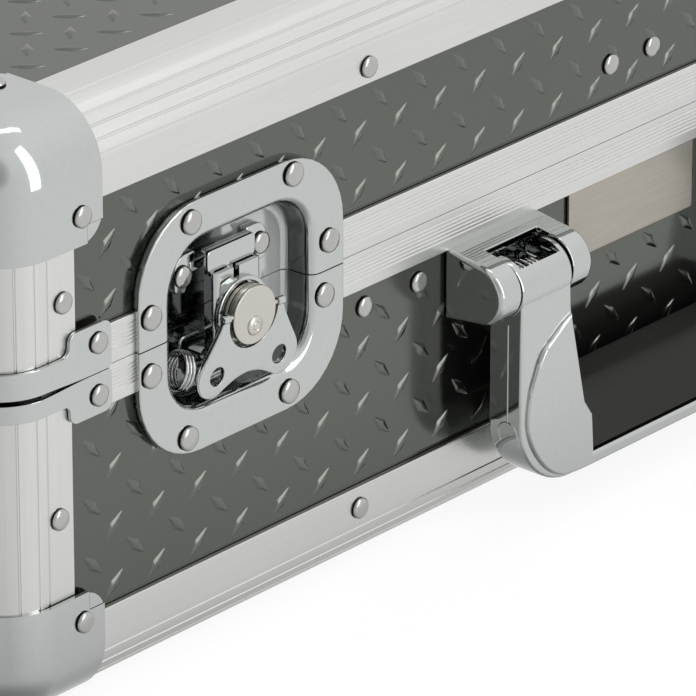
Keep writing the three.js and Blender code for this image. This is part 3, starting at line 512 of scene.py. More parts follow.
def loft(rings, flat=None):
    """Quads between rings of points in turn, with both ends closed by the flat outline's triangles."""
    bm = bmesh.new()
    rows = [[bm.verts.new(p) for p in ring] for ring in rings]
    for low, high in zip(rows, rows[1:]):
        for i in range(len(low)):
            j = (i + 1) % len(low)
            bm.faces.new((low[i], low[j], high[j], high[i]))
    if flat:
        triangles = tessellate_polygon([[Vector((u, v, 0)) for u, v in flat]])
        for row in (rows[0], rows[-1]):
            for triangle in triangles:
                bm.faces.new([row[k] for k in triangle])
    return bm


section = edge_section(face_width, (7.5, 22.5, 37.5, 52.5, 67.5, 82.5))
post_sections = {"lid": edge_section(face_width + 3.2, (8, 30, 60, 82), 18.7),
                 "base": edge_section(face_width + 1.2, (8, 30, 60, 82), 17.7)}


def mitre(a, b):
    """Where the extrusion ends at a point of its section: the rounded back stops short, under the ball
    corner."""
    start = post_cover if min(a, b) < slot_far - 1 else edge_radius + seat_gap
    return max(start, a + seat_gap, b + seat_gap)


for half, (sign, height) in halves.items():
    for side, (axis, _) in sides.items():
        rings = [[at_side(side, end * (case_half[axis] - mitre(a, b)), a, parting + sign * (height - b))
                  for a, b in section] for end in (-1, 1)]
        name = f"{half}_{side}_edge"
        finish_piece(name + "_extrusion", loft(rings, section), drawn_along[axis], half,
                     name, 35)
    for corner, (sx, sy) in corners.items():
        outline = post_sections[half]
        rings = [[(sx * (case_half_width - a + post_shy), centre_y + sy * (case_half_depth - b + post_shy),
                   parting + sign * c) for (a, b), c in zip(outline, stations)]
                 for stations in ([post_end] * len(outline), [height - mitre(a, b) for a, b in outline])]
        name = f"{half}_{corner}_post"
        finish_piece(name + "_extrusion", loft(rings, outline), drawn_along[2], half, name,
                     35)

# The ball corners: pressed and chromed sheet over the mitred ends of three extrusions. Each face is notched
# round its rivet, with a small round lobe of the sheet under the notch.
sheet = 1.2
ball_gap = 0.5
ball_radius = 20
ball_proud = ball_gap + sheet
lobe_radius = 8.7
slit = 0.3
notch_from_rivet = (2.2, 3.0)
ball_reaches = {"base": (38.4, 38.4, 36.0), "lid": (40.0, 40.0, 37.9)}
rivet_from_edge = (8.5, 8.8)

chrome = make_finish("bright_chrome", (0.515, 0.535, 0.522), 0.07, grain_scale=500, smudge_scale=6, tone=0.03,
                     unevenness=0.02)


def ball_shell(reaches):
    """One corner's outer skin as three notched faces, rounded into each other. Distances run inward from
    the case's outside faces."""
    bm = bmesh.new()
    middle = ball_radius - ball_proud
    turned = [middle - ball_radius * math.tan(math.radians(a)) for a in range(45, -1, -3)]
    for flat_axis in range(3):
        axes = [i for i in range(3) if i != flat_axis]
        notch = [reaches[axes[k]] - rivet_from_edge[k] + notch_from_rivet[k] for k in range(2)]
        lines = [turned + [middle + (notch[k] - middle) * i / 2 for i in (1, 2)]
                 + [notch[k] + (reaches[axes[k]] - notch[k]) * i / 2 for i in (1, 2)] for k in range(2)]
        grid = {}
        for i, u in enumerate(lines[0]):
            for j, v in enumerate(lines[1]):
                placed = [0, 0, 0]
                placed[axes[0]], placed[axes[1]], placed[flat_axis] = u, v, -ball_proud
                core = Vector([max(c, middle) for c in placed])
                grid[i, j] = bm.verts.new(core + (Vector(placed) - core).normalized() * ball_radius)
        for i in range(len(lines[0]) - 1):
            for j in range(len(lines[1]) - 1):
                if lines[0][i] < notch[0] - 0.01 or lines[1][j] < notch[1] - 0.01:
                    bm.faces.new((grid[i, j], grid[i + 1, j], grid[i + 1, j + 1], grid[i, j + 1]))
    bmesh.ops.delete(bm, geom=[v for v in bm.verts if not v.link_faces], context="VERTS")
    bmesh.ops.remove_doubles(bm, verts=bm.verts, dist=0.01)
    return bm


def arc_points(u, v, radius, start, end, steps):
    """Points on an arc from one angle to another, in degrees."""
    angles = [math.radians(start + (end - start) * i / steps) for i in range(steps + 1)]
    return [(u + radius * math.cos(a), v + radius * math.sin(a)) for a in angles]


def ring_points(u, v, radius, count):
    return arc_points(u, v, radius, 0, 360, count)[:-1]


def other_side(line):
    """The same line on the other side of the middle, run backwards."""
    return [(-x, z) for x, z in reversed(line)]


def add_to(bm, other):
    """Adds the second bmesh to the first."""
    passing = as_mesh("passing", other)
    bm.from_mesh(passing)
    bpy.data.meshes.remove(passing)


def lobe(reaches, flat_axis, low):
    """The round lobe that shows in a face's notch, a little under the face's own skin and parted from it by
    a slit."""
    axes = [i for i in range(3) if i != flat_axis]
    rivet = [reaches[axes[k]] - rivet_from_edge[k] for k in range(2)]
    near = [edge + slit for edge in notch_from_rivet]
    ends = (math.degrees(math.asin(near[1] / lobe_radius)), math.degrees(math.acos(near[0] / lobe_radius)))
    island = [tuple(near)] + arc_points(0, 0, lobe_radius, *ends, 8)
    under = [(-2, -2)] + arc_points(0, 0, 0.97 * lobe_radius, -8, 97, 15)
    whole = bmesh.new()
    for outline, depths in ((island, ((1.4, 0), (0.45, 0), (0.24, 0.06), (0.15, 0.3))),
                            (under, ((1.6, 0), (0.95, 0)))):
        rings = []
        for depth, shrink in depths:
            ring = [[low + depth] * 3 for _ in outline]
            for point, place in zip(outline, ring):
                for k in range(2):
                    place[axes[k]] = rivet[k] + point[k] * (1 - shrink / lobe_radius)
            rings.append(ring)
        add_to(whole, loft(rings, outline))
    return whole


def as_bmesh(mesh):
    """The mesh as a bmesh. The mesh itself is gone."""
    bm = bmesh.new()
    bm.from_mesh(mesh)
    bpy.data.meshes.remove(mesh)
    return bm


def worked(bm, bevel=0, segments=2, angle=40, cutters=(), wall=0):
    """A solid bmesh with cut-outs and rounded edges, or one with a wall put behind a skin that faces
    outward."""
    if not wall:
        bmesh.ops.recalc_face_normals(bm, faces=bm.faces)
    blank = stand("blank", as_mesh("blank", bm))
    if wall:
        thicken = blank.modifiers.new("wall", "SOLIDIFY")
        thicken.thickness, thicken.offset, thicken.use_even_offset = wall, -1, True
    tools = []
    for cutter in cutters:
        bmesh.ops.recalc_face_normals(cutter, faces=cutter.faces)
        tools.append(stand("tool", as_mesh("tool", cutter)))
        cut = blank.modifiers.new("cut", "BOOLEAN")
        cut.operation, cut.solver, cut.object = "DIFFERENCE", "EXACT", tools[-1]
    if bevel:
        round_off = blank.modifiers.new("round", "BEVEL")
        round_off.width, round_off.segments = bevel, segments
        round_off.limit_method, round_off.angle_limit = "ANGLE", math.radians(angle)
    return as_bmesh(baked(blank, tools))


def turn_outward(bm, centre):
    """Makes an open skin's faces point away from a point inside."""
    bmesh.ops.recalc_face_normals(bm, faces=bm.faces)
    leaning = sum((f.calc_center_median() - centre).dot(f.normal) * f.calc_area() for f in bm.faces)
    if leaning < 0:
        bmesh.ops.reverse_faces(bm, faces=bm.faces)


def to_corner(bm, half, sx, sy):
    """Puts a bmesh drawn as distances in from the outside faces at one corner of the case."""
    for v in bm.verts:
        a, b, c = v.co
        v.co = Vector((sx * (case_half_width - a), centre_y + sy * (case_half_depth - b),
                       parting + halves[half][0] * c))
    return bm


for half, (sign, height) in halves.items():
    for corner, (sx, sy) in corners.items():
        skin = ball_shell(ball_reaches[half])
        turn_outward(skin, Vector((edge_radius + 20,) * 3))
        ball = worked(skin, 0.28, angle=50, wall=sheet)
        for flat_axis in range(3):
            add_to(ball, lobe(ball_reaches[half], flat_axis, -ball_proud))
        for v in ball.verts:
            v.co.z = height - v.co.z
        finish_piece(f"{half}_{corner}_ball_corner", to_corner(ball, half, sx, sy), chrome, half,
                     f"{half}_{corner}_ball")

# The rims: two drawn sections with fine ribs that close on each other, a tongue on the lower one and a
# spigot at each end in the corner post's slot, and pressed bands round the corners whose tabs are riveted
# over the ends of the ribs.
rib_count = 6
rib_pitch = 1.2
rib_width = 0.7
rib_depth = 0.34
rib_starts = {"lid": 4.0, "base": 2.4}
seam_drop = 1.2
seam = parting - seam_drop
rim_slot_roof = rim_height - 7
tongue = (4.8, 7.2, 3)
parting_half = 0.08
latch_cut = 32.2
spigot_length = 9.8


def rim_profile(half):
    points = [(0.15, parting_half), (0, parting_half + 0.15)]
    for i in range(rib_count):
        z = rib_starts[half] + i * rib_pitch
        points += [(0, z - rib_width / 2), (rib_depth * 0.85, z - rib_width * 0.2), (rib_depth, z),
                   (rib_depth * 0.85, z + rib_width * 0.2), (0, z + rib_width / 2)]
    points += [(0, rim_height - 0.3), (0.3, rim_height), (slot_near, rim_height), (slot_near, rim_slot_roof)]
    points += [(slot_far, rim_slot_roof), (slot_far, rim_height), (inner_face, rim_height)]
    points += [(inner_face, parting_half)]
    near, far, rise = tongue
    if half == "base":
        points += [(far, parting_half), (far, -rise), (near, -rise), (near, parting_half)]
    else:
        points += [(far + 0.4, parting_half), (far + 0.4, rise + 0.4), (near - 0.4, rise + 0.4),
                   (near - 0.4, parting_half)]
    return points


def box(x0, x1, y0, y1, z0, z1):
    bm = bmesh.new()
    bmesh.ops.create_cube(bm, size=1)
    for v in bm.verts:
        v.co = Vector(((x0, x1)[v.co.x > 0], (y0, y1)[v.co.y > 0], (z0, z1)[v.co.z > 0]))
    return bm


tab_reach = 43
tab_start = 26
tab_height = 14
tab_corner = 3
band_top = 7.6
band_gap = 0.7
band_fillet = 2.6
band_arc = edge_radius + seat_gap + sheet


def band_outline(low_edge):
    """The flat blank of a corner band from its middle to one tab's end: along the sheet, and up from the
    parting."""
    arc = band_arc * math.pi / 4 - edge_radius
    points = []
    for i in range(9):
        share = i / 8
        rise = (1 - math.cos(math.pi * share)) / 2
        points.append((14 + 20 * share, low_edge + band_gap + (parting_half - band_gap) * rise))
    points += [(tab_reach - tab_corner * 0.3, low_edge + parting_half),
               (tab_reach, low_edge + parting_half + tab_corner * 0.3)]
    points += arc_points(tab_reach - tab_corner, tab_height - tab_corner, tab_corner, 0, 90, 6)
    points += arc_points(tab_start + tab_corner, tab_height - tab_corner, tab_corner, 90, 180, 6)
    points += arc_points(tab_start - band_fillet, band_top + band_fillet, band_fillet, 0, -90, 6)
    return [(u + arc, z) for u, z in points]


def corner_band(low_edge):
    """A corner band's outer skin: its blank, bent round the corner."""
    half_blank = band_outline(low_edge)
    bm = bmesh.new()
    bm.faces.new([bm.verts.new((u, z, 0)) for u, z in half_blank + other_side(half_blank)])
    steps = 16
    arc_half = band_arc * math.pi / 4
    for i in range(steps + 1):
        u = -arc_half + 2 * arc_half * i / steps
        bmesh.ops.bisect_plane(bm, geom=bm.verts[:] + bm.edges[:] + bm.faces[:], plane_co=(u, 0, 0),
                               plane_no=(1, 0, 0), dist=0.0001)
    for v in bm.verts:
        u, z = v.co.x, v.co.y
        angle = max(-math.pi / 4, min(math.pi / 4, u / band_arc)) + math.pi / 4
        over = max(0, abs(u) - arc_half)
        v.co = Vector((edge_radius - band_arc * math.cos(angle) + (over if u > 0 else 0),
                       edge_radius - band_arc * math.sin(angle) + (0 if u > 0 else over), z))
    return bm


for half, (sign, _) in halves.items():
    profile = rim_profile(half)
    for side, (axis, _) in sides.items():
        run = case_half[axis] - face_width - seat_gap
        rings = [[at_side(side, end * run, d, seam + sign * z) for d, z in profile] for end in (-1, 1)]
        rim = loft(rings, profile)
        if side == "front":
            face = centre_y - case_half_depth
            depths = (face - 5, face + slot_far - 0.2)
            tools = [box(s * latch_middle - latch_cut, s * latch_middle + latch_cut, *depths, parting - 20,
                         parting + 20) for s in (-1, 1)]
            rim = worked(rim, cutters=tools)
        for end in (-1, 1):
            near = at_side(side, end * (run - 0.2), slot_near + 0.1, seam + sign * parting_half)
            far = at_side(side, end * (run + spigot_length), slot_far - 0.1,
                          seam + sign * (rim_slot_roof - 0.2))
            add_to(rim, box(*(c for pair in zip(near, far) for c in sorted(pair))))
        finish_piece(f"{half}_{side}_rim", rim, drawn_along[axis], half, f"{half}_rim", 35)
    for corner, (sx, sy) in corners.items():
        skin = corner_band(-sign * seam_drop)
        turn_outward(skin, Vector((60, 60, 5)))
        band = to_corner(worked(skin, 0.25, angle=50, wall=sheet), half, sx, sy)
        finish_piece(f"{half}_{corner}_band", band, chrome, half, f"{half}_rim")

# The latch dishes: two halves of a deep pressed pan with a wide flange, chromed, one on the lid and one on
# the base. The lower one also holds the arm's axle between two lugs.
flange_size = (43.4, 39, 25)
opening_size = (29.4, 26.1, 15)
dish_shift = (0.6, -0.75)
dish_depth = 10.3
flange_round = 0.55
skirt_depth = 3.1
dish_gap = 0.17
lip_radius = 3.4
floor_radius = 2.6
corner_steps = 10
far_behind = 1000
latch_front = centre_y - case_half_depth - sheet - seat_gap


def pan_ring(size, grow, depth, corner_grow=None):
    """A rounded rectangle's points in the latch's frame: across, in from the flange's front, and up."""
    half_w, half_h = size[0] + grow, size[1] + grow
    radius = size[2] + (grow if corner_grow is None else corner_grow)
    points = []
    for cx, cz, start in ((1, 1, 0), (-1, 1, 90), (-1, -1, 180), (1, -1, 270)):
        x, z = dish_shift[0] + cx * (half_w - radius), dish_shift[1] + cz * (half_h - radius)
        points += arc_points(x, z, radius, start, start + 90, corner_steps)
    return [(x, depth, z) for x, z in points]


def quarter(radius, steps):
    """How far a rounded edge draws in and how far it has still to go, from its start to its end."""
    return [(radius - x, radius - y) for x, y in arc_points(0, 0, radius, 0, 90, steps)]


def dish_skin():
    """The outside of the whole pan: skirt, flange, lip, wall and floor."""
    rings = [pan_ring(flange_size, -0.9, skirt_depth), pan_ring(flange_size, 0, 1.0)]
    rings += [pan_ring(flange_size, -p, q) for p, q in quarter(flange_round, 4)]
    rings += [pan_ring(opening_size, q, p) for p, q in quarter(lip_radius, 5)]
    rings += [pan_ring(opening_size, -0.3 - p, dish_depth - q, -p * 0.5) for p, q in quarter(floor_radius, 5)]
    bm = loft(rings)
    bm.verts.ensure_lookup_table()
    bm.faces.new(bm.verts[len(bm.verts) - len(rings[0]):])
    return bm


def moved(bm, x, y, z):
    for v in bm.verts:
        v.co = Vector((x + v.co.x, y + v.co.y, z + v.co.z))
    return bm


def set_in_latches(bm, piece, body, node, material=chrome, sharp=30):
    """Sets a bmesh drawn about a latch's middle in both latches, on the base, the lid or a body of each
    latch."""
    for side_name, side in (("left", -1), ("right", 1)):
        own_body = body if body in halves else f"{side_name}_{body}"
        finish_piece(f"{side_name}_{piece}", moved(bm.copy(), side * latch_middle, latch_front, parting),
                     material, own_body, f"{side_name}_latch_{node}", sharp)
    bm.free()


def revolve(profile, centre, axis, sides=32, closed=False):
    """Turns a profile of (radius, along) about an axis through centre. Points on the axis close the ends."""
    axis = Vector(axis).normalized()
    across = axis.orthogonal().normalized()
    up = axis.cross(across)
    bm = bmesh.new()
    rows = []
    for radius, along in profile:
        middle = Vector(centre) + axis * along
        if radius < 1e-6:
            rows.append([bm.verts.new(middle)] * sides)
        else:
            rows.append([bm.verts.new(middle + radius * (across * u + up * v))
                         for u, v in ring_points(0, 0, 1, sides)])
    for low, high in list(zip(rows, rows[1:])) + ([(rows[-1], rows[0])] if closed else []):
        for i in range(sides):
            j = (i + 1) % sides
            face = dict.fromkeys((low[i], low[j], high[j], high[i]))
            if len(face) > 2:
                bm.faces.new(face)
    return bm


def round_rod(radius, start, end, edge=0.3, sides=24):
    """A rod with its ends' edges rounded off."""
    start, end = Vector(start), Vector(end)
    length = (end - start).length
    profile = [(0, 0), (radius - edge, 0), (radius - edge * 0.3, edge * 0.3), (radius, edge),
               (radius, length - edge), (radius - edge * 0.3, length - edge * 0.3), (radius - edge, length),
               (0, length)]
    return revolve(profile, start, end - start, sides)


def flat_plate(outlines, near, far, edge, facing="front", steps=1):
    """A plate with outlines and holes and its edges rounded off. Facing front, outlines are (x, z) and near
    and far are depths y; facing the side, they are (y, z) and near and far run along x."""
    curve = bpy.data.curves.new("blank", "CURVE")
    curve.dimensions = "2D"
    curve.fill_mode = "BOTH"
    curve.extrude = (far - near) / 2 - edge
    curve.bevel_depth = edge
    curve.bevel_resolution = steps
    curve.offset = -edge
    for outline in outlines:
        spline = curve.splines.new("POLY")
        spline.points.add(len(outline) - 1)
        for point, (u, v) in zip(spline.points, outline):
            point.co = (u, v, 0, 1)
        spline.use_cyclic_u = True
    bm = as_bmesh(baked(stand("blank", curve)))
    middle = (near + far) / 2
    for v in bm.verts:
        u, v_up, w = v.co
        v.co = Vector((u, middle - w, v_up)) if facing == "front" else Vector((middle + w, u, v_up))
    bmesh.ops.remove_doubles(bm, verts=bm.verts, dist=0.001)
    bmesh.ops.recalc_face_normals(bm, faces=bm.faces)
    return bm


def rounded(points, radii, steps=5):
    """A closed outline with its corners rounded, each by its own radius."""
    result = []
    count = len(points)
    for i, radius in zip(range(count), radii):
        here = Vector(points[i])
        before, after = Vector(points[i - 1]) - here, Vector(points[(i + 1) % count]) - here
        if radius <= 0:
            result.append(tuple(here))
            continue
        d0, d1 = before.normalized(), after.normalized()
        half_angle = d0.angle(d1) / 2
        back = min(radius / math.tan(half_angle), before.length * 0.49, after.length * 0.49)
        start, end = here + d0 * back, here + d1 * back
        fit = back * math.tan(half_angle)
        centre = here + (d0 + d1).normalized() * (fit / math.sin(half_angle))
        a0, a1 = (math.atan2(p.y - centre.y, p.x - centre.x) for p in (start, end))
        sweep = (a1 - a0 + math.pi) % (2 * math.pi) - math.pi
        result += arc_points(centre.x, centre.y, fit, math.degrees(a0), math.degrees(a0 + sweep), steps)
    return result


def rounded_box(left, right, low, high, radii, steps=5):
    """A rectangle with rounded corners, from its lower left corner round to the upper left."""
    return rounded([(left, low), (right, low), (right, high), (left, high)], radii, steps)


axle_height = -15
axle_depth = 4
axle_radius = 1.5
axle_ends = (-19.6, 13.8)
lug_left = -14.2
lug_radius = 3.4
lug_thickness = 1.4
pan_chrome = make_finish("chromed_pressing", (0.515, 0.535, 0.522), 0.09, grain_scale=500, smudge_scale=6,
                         tone=0.03, unevenness=0.02)


def shade_the_pans():
    """Paints shade into the pans' drawn walls as a darker colour, and paints the open floor to the right of
    the arm a lighter, less metallic colour that stands in for the light it mirrors."""
    tree, shader, color = open_finish(pan_chrome)[:3]
    axes = place_of(tree)[1]
    deep, on_floor = (smooth_step(tree, axes["Y"], (latch_front + near) * MM, (latch_front + far) * MM)
                      for near, far in ((1.5, 4), (8.2, 9.4)))
    across = do_math(tree, "MULTIPLY_ADD", do_math(tree, "SIGN", axes["X"]), -latch_middle * MM, axes["X"])
    floor_light_mask = do_math(tree, "MULTIPLY", on_floor, smooth_step(tree, across, -10 * MM, 13 * MM))
    wall_shade_mask = do_math(tree, "SUBTRACT", deep, floor_light_mask, clamp=True)
    # Painted shade: the drawn walls are coloured darker where the pan is deep.
    walls = blend_colors(tree, wall_shade_mask, color, (0.15, 0.162, 0.16))
    # Painted light: the open floor is coloured lighter and made less metallic, standing in for the light it
    # mirrors.
    feed(tree, shader["Base Color"], blend_colors(tree, floor_light_mask, walls, (0.74, 0.76, 0.75)))
    feed(tree, shader["Metallic"], do_math(tree, "MULTIPLY_ADD", floor_light_mask, -0.7, 1.0))


shade_the_pans()
for half, level in (("lid", "upper"), ("base", "lower")):
    sign = halves[half][0]
    skin = dish_skin()
    bmesh.ops.bisect_plane(skin, geom=skin.verts[:] + skin.edges[:] + skin.faces[:],
                           plane_co=(0, 0, sign * dish_gap - seam_drop), plane_no=(0, 0, -sign),
                           clear_outer=True)
    turn_outward(skin, Y * far_behind)
    dish = worked(skin, 0.22, angle=50, wall=sheet)
    if half == "base":
        for x in (lug_left, axle_ends[1]):
            lug = rounded_box(axle_depth - lug_radius, dish_depth + 0.2, axle_height - lug_radius,
                              axle_height + lug_radius, (lug_radius, 0, 0, lug_radius), 8)
            add_to(dish, flat_plate([lug], x - lug_thickness / 2, x + lug_thickness / 2, 0.25, "side"))
        add_to(dish, round_rod(axle_radius, (axle_ends[0] - 0.6, axle_depth, axle_height),
                               (axle_ends[1] + 1.2, axle_depth, axle_height)))
    set_in_latches(dish, f"latch_{level}_dish_pressing", half, f"{level}_dish", pan_chrome)

# The keepers: a small chromed bridge riveted to the floor of each upper dish. Two ears hold it there, and
# the hook's lip catches on its bar.
keeper_half_width = 19.4
keeper_low = 7
keeper_high = 18.8
keeper_shift = -1
keeper_front = 7
keeper_back = dish_depth - seat_gap
bar_ends = (-14.6, 12.6)
bar_front = 6.6
bar_thickness = 1.5
bar_low = 12.7
bar_top = 15.9
keeper = worked(box(*bar_ends, bar_front, bar_front + bar_thickness, bar_low, bar_top), 0.5)
for s in (-1, 1):
    ear = [(keeper_half_width, keeper_low), (keeper_half_width, keeper_high), (10.3, keeper_high),
           (12.8, 12.8), (14.6, 9.2), (14.8, keeper_low)]
    ear = rounded([(keeper_shift + s * x, z) for x, z in ear], (3, 4.4, 0.8, 3, 2, 1))
    add_to(keeper, flat_plate([ear], keeper_front, keeper_back, 0.5))
set_in_latches(keeper, "keeper_bridge", "lid", "keeper")

# The arms: a channel pressed from sheet and chromed. It stands on the axle with an eye at each side, and a
# raised collar holds the rotor.
arm_half_width = 9.7
arm_front = 1
arm_back = 2.5
arm_wall = 1.5
arm_bend = 1.9
arm_top = 12
arm_low = -12.4
arm_flange_back = 5.7
rotor_height = -1.7
collar_outer = 10.6
collar_inner = 9
bore_radius = 7.9
eye_bore = 1.75


def channel_section(half_w, front, back, wall, bend):
    """A channel's section, across and in from the front, with its two bends rounded."""
    outer, inner = [], []
    for s, start in ((-1, 180), (1, 270)):
        for line, radius in ((outer, bend), (inner, bend - wall)):
            line += arc_points(s * (half_w - bend), front + bend, radius, start, start + 90, 6)
    right_end, left_end = [(half_w, back), (half_w - wall, back)], [(-half_w + wall, back)]
    return [(-half_w, back)] + outer + right_end + inner[::-1] + left_end


channel = channel_section(arm_half_width, arm_front, arm_flange_back, arm_wall, arm_bend)
tools = [box(-2.3, 0.1, arm_front - 3, arm_back + 0.4, arm_top - 5.4, arm_top + 4),
         revolve([(0, -3), (bore_radius, -3), (bore_radius, 5), (0, 5)], (0, 0, rotor_height), (0, 1, 0), 40)]
arm = loft([[(x, d, z) for x, d in channel] for z in (arm_low, arm_top)], channel)
arm = worked(arm, 0.22, angle=35, cutters=tools)
collar = [(collar_inner, 1.2), (collar_inner, -0.5), (collar_inner + 0.3, -0.8), (collar_outer - 0.7, -0.8),
          (collar_outer - 0.2, -0.6), (collar_outer, 0), (collar_outer, 1.2)]
add_to(arm, revolve(collar, (0, 0, rotor_height), (0, 1, 0), 48, closed=True))
for x in (-arm_half_width, arm_half_width - arm_wall):
    eye = [ring_points(axle_depth, axle_height, radius, count)
           for radius, count in ((lug_radius, 24), (eye_bore, 20))]
    add_to(arm, flat_plate(eye, x, x + arm_wall, 0.2, "side"))
    neck_heights = (axle_height + 1.9, arm_low + 0.4)
    add_to(arm, box(x + 0.05, x + arm_wall - 0.05, arm_front + 1.6, arm_flange_back, *neck_heights))
set_in_latches(arm, "arm_channel", "arm", "arm")

# The hooks: a chromed strip that slides behind the arm, with a slot for the rotor's rivet and its head bent
# back over the keeper's bar.
hook_front = 3
hook_back = 4.8
hook_top = 19
hook_shift = -0.9
hook_low = 11.7
hook_half_width = 10.2
lip_half_width = 9.6
face = rounded_box(hook_shift - hook_half_width, hook_shift + hook_half_width, hook_low, hook_top,
                   (2.4, 2.4, 1.6, 1.6))
hook = flat_plate([face], hook_front - 0.1, hook_back - 0.1, 0.7)
lip = box(hook_shift - lip_half_width, hook_shift + lip_half_width, hook_front + 0.9, hook_front + 3.2,
          hook_top - 1.5, hook_top - 0.05)
add_to(hook, worked(lip, 0.4))
slot_hole = rounded_box(-5.2, 5.2, -6.9, -1.3, (2.7,) * 4)
stem = rounded_box(-7.9, 7.9, -9, 13, (1.5, 1.5, 0.5, 0.5))
add_to(hook, flat_plate([stem, slot_hole], hook_front, hook_back, 0.25))
set_in_latches(hook, "hook_strip", "hook", "hook")

# The rotors: a satin nickel disc over a washer and a hub, with a rivet through it off centre that drives
# the hook, and two short pins that carry the wing.
rotor_rest = math.radians(3.5)
throw = 2.4
disc_front = -5.2
satin_nickel = make_finish("satin_nickel", (0.565, 0.55, 0.505), 0.26, grain_scale=1600, smudge_scale=40,
                           tone=0.07, unevenness=0.05, relief=0.00001)


def turn_rotor(bm):
    """The lock's rest is a little past square: turns a bmesh drawn about the rotor's axis, and lifts it
    there."""
    turn = Matrix.Rotation(rotor_rest, 4, "Y")
    for v in bm.verts:
        v.co = turn @ v.co + Vector((0, 0, rotor_height))


wing_pin_height = 1.2
wing_pin_radius = 0.75
disc = [(0, 0), (8.45, 0), (8.8, 0.12), (8.95, 0.45), (8.95, 1.6), (8.8, 1.9), (7.6, 2.05), (7.6, 2.3),
        (8.5, 2.4), (8.5, 2.75), (7.8, 2.85), (7.8, 3.1), (8.6, 3.25), (8.6, 4.3), (8.4, 4.4), (7.5, 4.45),
        (7.5, 7.95), (0, 7.95)]
drive = [(0, -0.78), (1.0, -0.75), (1.2, -0.62), (1.35, -0.62), (1.55, -0.75), (2.3, -0.66), (2.85, -0.35),
         (3.0, 0), (3.0, 0.1), (0, 0.1)]
shank = [(0, 0.1), (2, 0.1), (2, 10.2), (3.5, 10.25), (3.5, 11.1), (3.2, 11.25), (0, 11.25)]
rotor = bmesh.new()
for profile, down, count in ((disc, 0, 56), (drive, throw + 0.9, 28), (shank, throw, 20)):
    add_to(rotor, revolve([(r, disc_front + d) for r, d in profile], (0, 0, -down), (0, 1, 0), count))
for s in (-1, 1):
    add_to(rotor, round_rod(wing_pin_radius, (s * 7.5, disc_front + 1, wing_pin_height),
                            (s * 12.9, disc_front + 1, wing_pin_height), 0.2, 14))
turn_rotor(rotor)
set_in_latches(rotor, "rotor_disc", "rotor", "rotor", satin_nickel)

# The wings: a chromed butterfly plate with a hole in each lobe, folded down on the rotor's pins. Lifted, it
# turns the rotor by hand.
wing_half_width = 20.9
wing_length = 23.9
wing_thickness = 1.8
wing_ear = (10.1, 12.9)
wing_tilt = math.radians(5.5)
wing_hole = (13.2, -17.3, 2.9)
wing_shares = [(0.66, 0.14), (0.82, 0.38), (0.96, 0.58), (1, 0.7), (0.98, 0.83), (0.89, 0.94), (0.74, 1),
               (0.6, 0.99), (0.44, 0.92), (0.22, 0.84), (0, 0.81)]


def flowing(points, steps=4):
    """A smooth open line through points, with more points between them."""
    spread = [points[0]] + list(points) + [points[-1]]
    result = []
    for i in range(1, len(spread) - 2):
        p0, p1, p2, p3 = (Vector(spread[i + k]) for k in (-1, 0, 1, 2))
        for k in range(steps):
            t = k / steps
            result.append(tuple(0.5 * (2 * p1 + (p2 - p0) * t + (2 * p0 - 5 * p1 + 4 * p2 - p3) * t * t
                                       + (3 * p1 - p0 - 3 * p2 + p3) * t ** 3)))
    result.append(tuple(points[-1]))
    return result


edge_line = flowing([(wing_ear[1], -1.0)] + [(a * wing_half_width, -b * wing_length) for a, b in wing_shares])
ear_top = [(wing_ear[0], 1.2), (wing_ear[1] - 0.6, 1.2), (wing_ear[1], 0.6)]
outline = ear_top + edge_line + other_side(ear_top + edge_line[:-1])
outline += arc_points(0, rotor_height + 0.5, wing_ear[0], -180, 0, 20)
holes = [ring_points(s * wing_hole[0], *wing_hole[1:], 28) for s in (-1, 1)]
wing = flat_plate([outline] + holes, -wing_thickness / 2, wing_thickness / 2, 0.45)
for s in (-1, 1):
    knuckle = [(0.8, 0), (1.1, 0), (1.3, 0.2), (1.3, 2.6), (1.1, 2.8), (0.8, 2.8)]
    add_to(wing, revolve(knuckle, (min(s * wing_ear[0], s * wing_ear[1]), 0, 0), (1, 0, 0), 20, closed=True))
tilt = Matrix.Rotation(wing_tilt, 4, "X")
for v in wing.verts:
    v.co = tilt @ v.co + Vector((0, disc_front + 1, wing_pin_height))
turn_rotor(wing)
set_in_latches(wing, "wing_plate", "wing", "wing")

# The latch springs: hard drawn steel wire, wound round the axle in three leaning turns, with one leg down
# beside them and one behind the arm.
spring_wire = 1.05
spring_radius = 5.5
spring_turns = 3
spring_pitch = 1.15
spring_middle = Vector((-21.4, 4.2, -14.6))
spring_lean = Vector((1, 0, 0)).rotation_difference(Vector((0.89, -0.32, -0.32)))
wire_steps = 28
spring_steel = make_finish("spring_steel", (0.56, 0.56, 0.55), 0.14, grain_scale=700, smudge_scale=30,
                           tone=0.06, unevenness=0.04)


def wire(points, radius, sides=12):
    """A round wire along points, with closed ends."""
    circle = ring_points(0, 0, 1, sides)
    rings = []
    across = Vector((1, 0, 0))
    for i, point in enumerate(points):
        along = (points[min(i + 1, len(points) - 1)] - points[max(i - 1, 0)]).normalized()
        across = (across - along * across.dot(along)).normalized()
        up = along.cross(across)
        rings.append([point + radius * (across * u + up * v) for u, v in circle])
    return loft(rings, circle)


def bent_line(points, radius, steps=5):
    """An open line in space with its inner corners rounded."""
    result = [points[0]]
    for before, here, after in zip(points, points[1:], points[2:]):
        d0, d1 = before - here, after - here
        back = min(radius, d0.length * 0.45, d1.length * 0.45)
        start, end = here + d0.normalized() * back, here + d1.normalized() * back
        for k in range(steps + 1):
            t = k / steps
            result.append(start * (1 - t) ** 2 + here * 2 * t * (1 - t) + end * t * t)
    return result + [points[-1]]


